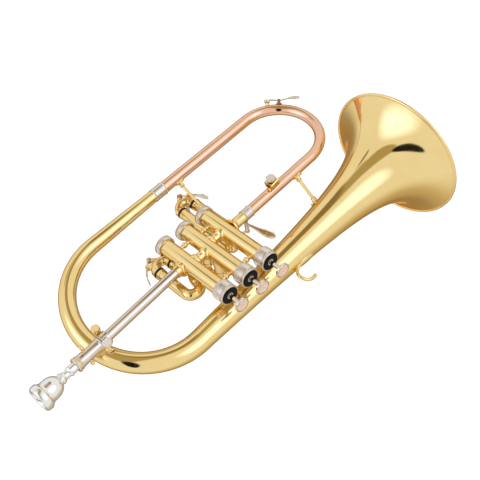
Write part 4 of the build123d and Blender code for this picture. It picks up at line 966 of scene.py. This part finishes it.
# each panel of the light tent: centre, long axis, half length, half width, soft share, colour
TENT_CLOTH = (0.90, 0.885, 0.85, 1.0)
TENT = (
    ((0.30, -0.50, -0.80), (1.0, 0.0, 0.0), 0.80, 0.75, 0.6, (0.60, 0.50, 0.33)),
    ((0.0, 0.0, -1.0), (1.0, 0.0, 0.0), 0.78, 0.78, 0.4, (0.42, 0.385, 0.335)),
    ((-0.12, 0.90, 0.42), (-0.71, 0.36, -0.61), 0.27, 0.26, 0.3, (0.60, 0.50, 0.32)),
    ((-0.20, 0.66, 0.72), (0.10, 0.70, -0.60), 0.62, 0.20, 0.25, (0.46, 0.37, 0.20)),
    ((-0.10, 0.93, 0.36), (0.70, -0.40, 0.60), 0.30, 0.05, 0.4, (0.28, 0.20, 0.09)),
    ((-0.48, 0.83, 0.28), (0.21, 0.155, -0.12), 0.12, 0.055, 0.5, (0.30, 0.22, 0.10)),
    ((0.63, 0.25, 0.74), (-0.30, 0.90, 0.0), 0.42, 0.30, 0.8, (1.45, 1.52, 1.85)),
    ((-0.80, 0.0, 0.60), (0.0, 1.0, 0.0), 0.42, 0.34, 0.9, (1.50, 1.60, 2.0)),
    ((-0.17, -0.26, 0.94), (0.0, 1.0, 0.30), 0.46, 0.12, 0.2, (0.012, 0.01, 0.008)),
)


def make_world():
    """A white light tent with gaps that mirror as dark bands, and with brighter panels."""
    world = bpy.data.worlds.new("tent")
    bpy.context.scene.world = world
    world.use_nodes = True
    tree = world.node_tree
    background = tree.nodes["Background"]
    direction = tree.nodes.new("ShaderNodeTexCoord").outputs["Generated"]

    def towards(axis):
        node = tree.nodes.new("ShaderNodeVectorMath")
        node.operation = "DOT_PRODUCT"
        node.inputs[1].default_value = axis
        tree.links.new(direction, node.inputs[0])
        return node.outputs["Value"]

    def maths(operation, *values):
        node = tree.nodes.new("ShaderNodeMath")
        node.operation = operation
        for socket, value in zip(node.inputs, values):
            if isinstance(value, float):
                socket.default_value = value
            else:
                tree.links.new(value, socket)
        return node.outputs["Value"]

    level = None
    for centre, long_axis, half_length, half_width, soft, colour in TENT:
        middle = studio_direction(*centre)
        lengthwise = studio_direction(*long_axis)
        lengthwise = (lengthwise - middle * lengthwise.dot(middle)).normalized()
        crosswise = middle.cross(lengthwise)
        reach = maths("ADD", maths("POWER", maths("ABSOLUTE", towards(lengthwise / half_length)), 2.0),
                      maths("POWER", maths("ABSOLUTE", towards(crosswise / half_width)), 2.0))
        behind = maths("MULTIPLY", maths("LESS_THAN", towards(middle), 0.0), 100.0)
        zone = tree.nodes.new("ShaderNodeMapRange")
        zone.interpolation_type = "SMOOTHSTEP"
        zone.inputs["From Min"].default_value = 1.0 + soft
        zone.inputs["From Max"].default_value = 1.0 - soft
        tree.links.new(maths("ADD", reach, behind), zone.inputs["Value"])
        mix = tree.nodes.new("ShaderNodeMix")
        mix.data_type = "RGBA"
        below, above, mixed = mix.inputs[6], mix.inputs[7], mix.outputs[2]      # its colour sockets
        tree.links.new(zone.outputs["Result"], mix.inputs["Factor"])
        if level is None:
            below.default_value = TENT_CLOTH
        else:
            tree.links.new(level, below)
        above.default_value = (*colour, 1.0)
        level = mixed
    tree.links.new(level, background.inputs["Color"])


def make_light():
    """One broad soft lamp for felt, pearl and paper; the metal mirrors the tent alone."""
    data = bpy.data.lights.new("key_softbox", "SUN")
    data.energy = 1.15
    data.angle = math.radians(75.0)
    lamp = bpy.data.objects.new("key_softbox", data)
    bpy.context.scene.collection.objects.link(lamp)
    lamp.visible_glossy = False
    lamp.rotation_euler = Vector((-0.35, 0.45, 0.9)).to_track_quat("Z", "Y").to_euler()


def make_studio():
    make_camera()
    make_floor()
    make_world()
    make_light()
    bpy.context.scene.view_settings.view_transform = "Standard"


make_bell()
make_rear_bow()
make_copper_loop()
for number in (1, 2, 3):
    make_top_cap(number)
make_bottom_caps()
make_cap_felts()
make_braces()
make_knuckles()
make_ferrules()
make_receiver()
make_clamp()
make_trigger()
make_main_key()
make_pinky_hook()
make_mouthpiece()
assign_materials()
make_studio()
